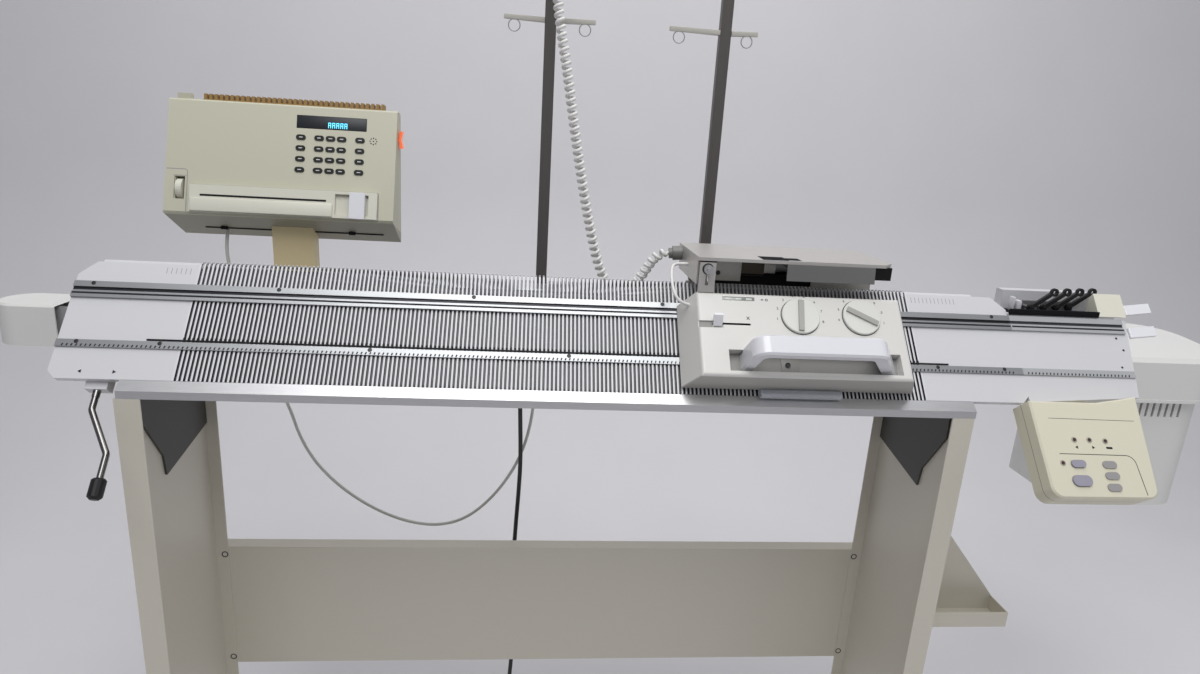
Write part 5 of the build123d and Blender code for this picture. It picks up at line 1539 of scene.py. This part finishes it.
@dataclass(frozen=True)
class ConsoleDress(Dress):
    """Finishes, keys and display of the console."""

    left: float = -559.0
    right: float = -247.0
    foot: ClassVar[tuple[float, float]] = (148.7, 100.2)
    brow: ClassVar[tuple[float, float]] = (199.4, 254.2)
    key_columns: tuple[float, ...] = (-379.0, -354.0, -338.3, -323.0, -297.5)
    key_rows: tuple[float, ...] = (116.0, 100.5, 85.0, 69.5)
    display: tuple[float, float, float, float] = (-386.0, -289.0, 129.1, 148.1)
    glyph_start: float = -340.5
    glyph_step: float = 5.6
    glyph_strokes: tuple[tuple[float, ...], ...] = (
        (0, 3.4, 3.6, 1.0), (0, 0, 3.6, 1.0), (-1.5, -0.2, 1.0, 7.8), (1.5, -0.2, 1.0, 7.8))
    finishes: ClassVar[dict[str, Finish]] = {
        "console_body": CONSOLE_CREAM_SHADED_UNDERSIDE, "console_grille": GRILLE_TAN, "card_slider": HANDLE_WHITE,
        "feed_wheel": READER_CREAM, "power_switch": SWITCH_GLOW, "console_post": POST_BEIGE}

    def face(self, finish: Finish, slot: str, *pieces: Piece) -> None:
        """Fits pieces that are drawn on the console's face."""
        self.fit(self.fitter.frame.console(), finish, slot, *pieces)

    def add(self) -> None:
        """Adds the console's keys, display, speaker, reader and rail."""
        self.keys()
        self.screen()
        self.speaker()
        self.reader()
        self.underside()

    def keys(self) -> None:
        """Twenty small oval keys with a light figure bar on each."""
        key = Bench.block("console_keys", (-6.6, -3.7, -0.6), (6.6, 3.7, 1.3))
        modifier = key.modifiers.new("Ends", "BEVEL")
        modifier.affect = "EDGES"
        modifier.width = 3.5
        modifier.segments = 4
        modifier.limit_method = "WEIGHT"
        weights = key.data.attributes.new("bevel_weight_edge", "FLOAT", "EDGE")
        for edge in key.data.edges:
            ends = [key.data.vertices[number].co for number in edge.vertices]
            weights.data[edge.index].value = 1.0 if abs(ends[0].z - ends[1].z) > 1 else 0.0
        Bench.applied(key)
        bar = Bench.block("key_prints", (-2.4, -0.5, 1.25), (2.4, 0.5, 1.4))
        spots = [(x, y, 0) for x in self.key_columns for y in self.key_rows]
        self.face(BLACK_PLASTIC, "black_plastic", Bench.spread(key, spots, "console_keys"))
        self.face(PRINT_LIGHT, "handle_white", Bench.spread(bar, spots, "key_prints"))

    def screen(self) -> None:
        """Dark display window with five lit glyphs."""
        x0, x1, y0, y1 = self.display
        glass = Bench.block("console_display", (x0 + 0.3, y0 + 0.3, -1.5), (x1 - 0.3, y1 - 0.3, 0.2), 0.4)
        self.face(DISPLAY_GLASS, "black_plastic", glass)
        strokes = []
        for number in range(5):
            x, y = self.glyph_start + number * self.glyph_step, y0 + 6.2
            for dx, dy, wide, tall in self.glyph_strokes:
                strokes.append(Bench.block("display_glyphs", (x + dx - wide / 2, y + dy - tall / 2, 0.15),
                                           (x + dx + wide / 2, y + dy + tall / 2, 0.3)))
        self.face(DIGIT_GLOW, "switch_red", *strokes)

    def speaker(self) -> None:
        """Nine small round holes of the speaker, one in the middle of a ring."""
        dot = Bench.disc("speaker_holes", (0, 0, 0), 0.95, 0.15, 16, 0.05)
        x, y, radius = -279.0, 116.0, 4.6
        spots = [(x, y, 0)] + [(x + radius * math.cos(turn), y + radius * math.sin(turn), 0)
                               for turn in [math.radians(45 * step) for step in range(8)]]
        self.face(PRINT_DARK, "black_plastic", Bench.spread(dot, spots, "speaker_holes"))

    def reader(self) -> None:
        """Raised lip, a black strip of painted shade in the card slot over it, and the seams round the reader
        and the wheel.
        """
        lip = Bench.block("reader_lip", (self.left + 38, 2.6, 5.9), (self.right - 83, 21.5, 8.4), 1.2, 3)
        self.face(READER_CREAM, "console_cream", lip)
        # Painted shade: the black strip fills the card slot so that it looks dark.
        strip = Bench.block("card_slot_painted_shade", (self.left + 50.3, 24.3, -2.5), (self.right - 92.3, 26.7, 5.9))
        self.face(DARK_PARTS_AND_SHADE, "black_plastic", strip)
        x = self.left + 30
        corner = [(x - 4 + 4 * math.sin(turn), 58 + 4 * math.cos(turn))
                  for turn in [math.radians(30 * step) for step in range(4)]]
        outlines = (
            ([(self.left + 2, 62), *corner, (x, 1)], 1.2),
            ([(self.left + 11, 53), (self.left + 29, 53)], 0.8),
            ([(self.left + 36, 41), (self.right - 22, 41), (self.right - 21, 2)], 1.4))
        seams = [Bench.strokes("console_seams", line, width, 0, PRINT_THICK) for line, width in outlines]
        self.face(PRINT_GREY, "console_cream", *seams)

    def underside(self) -> None:
        """Rail under the console with its two wing screws, near-black as painted shade."""
        place = self.fitter.frame.tilted((0, *self.foot), (1, 0, 0), (0, 215 - self.foot[0], 62 - self.foot[1]))
        # Painted shade: the rail and wing screws are near-black because they lie in the console's shadow.
        rail = Bench.block("console_rail_painted_shade", (-520, 45, -1.2), (-268, 48, 0), 0.3)
        wings = [Bench.block("console_rail_painted_shade", (x - 5, 40, -5), (x + 5, 43, 0), 1.0) for x in (-492, -312)]
        self.fit(place, DARK_PARTS_AND_SHADE, "black_plastic", rail, *wings)


@dataclass(frozen=True)
class MastDress(Dress):
    """Finish of the yarn masts and the clear sheaths of their guide arms.

    Attributes:
        arms: middle of each mast and the reach of its left and its right arm.
        mast_front: front face of the masts.
        height: height of the arms' middle.
        sheath_half: half of a sheath's height.
        loop_inset: how far a wire loop hangs from its arm's end.
    """

    arms: tuple[tuple[float, float, float], ...] = ((-33.0, 64.0, 62.0), (216.0, 82.0, 44.0))
    mast_front: float = 178.0
    height: float = 388.0
    sheath_half: float = 3.3
    loop_inset: float = 14.0
    finishes: ClassVar[dict[str, Finish]] = {"masts": MAST_GREY}

    def add(self) -> None:
        """Adds the sheaths and wire loops of the guide arms."""
        sheaths, loops = [], []
        for middle, left, right in self.arms:
            for side, reach in ((-1, left), (1, right)):
                sheaths.append(self.sheath(middle, side, reach))
                loops.append(self.wire_loop(middle + side * (reach - self.loop_inset)))
        self.upright(ARM_CLEAR, "mast_grey", *sheaths)
        self.upright(SCREW_STEEL, "mast_grey", *loops)

    def sheath(self, middle: float, side: int, reach: float) -> Piece:
        """Clear sleeve over one guide arm, narrow at its far end."""
        near, far = middle + side * 8.2, middle + side * (reach + 0.3)
        low, high = min(near, far), max(near, far)
        sleeve = Bench.block("guide_arm_sheaths", (low, 0, self.height - self.sheath_half),
                             (high, 1, self.height + self.sheath_half))
        for vertex in sleeve.data.vertices:
            at_end = abs(vertex.co.x - far) < 0.1
            front, rear = (-9.3, -4.7) if at_end else (-1.5, 9.3)
            vertex.co.y = self.mast_front + (rear if vertex.co.y > 0.5 else front)
        return Bench.rounded(sleeve, 0.6)

    def wire_loop(self, x: float) -> Piece:
        """Thin wire ring that hangs under a guide arm."""
        Bench.clear()
        bpy.ops.mesh.primitive_torus_add(
            major_segments=28, minor_segments=6, major_radius=8, minor_radius=0.6,
            location=(x, self.mast_front - 5, self.height - 10.5), rotation=(math.pi / 2, 0, 0))
        return Bench.settle(bpy.context.active_object, "guide_wires")


def main() -> None:
    """Builds the scene in order."""
    logging.basicConfig(level=logging.INFO, format="%(message)s")
    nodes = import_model()["nodes"]
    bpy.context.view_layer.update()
    frame = MachineFrame.measured()
    fitter = Fitter(frame, nodes)
    Studio().build(frame)
    CordSet().build(fitter)
    for dress in (StandDress, BedDress, LockDress, DriveDress, ChangerDress, ControlBoxDress, ConsoleDress,
                  MastDress):
        dress(fitter).build()


if __name__ == "__main__":
    main()
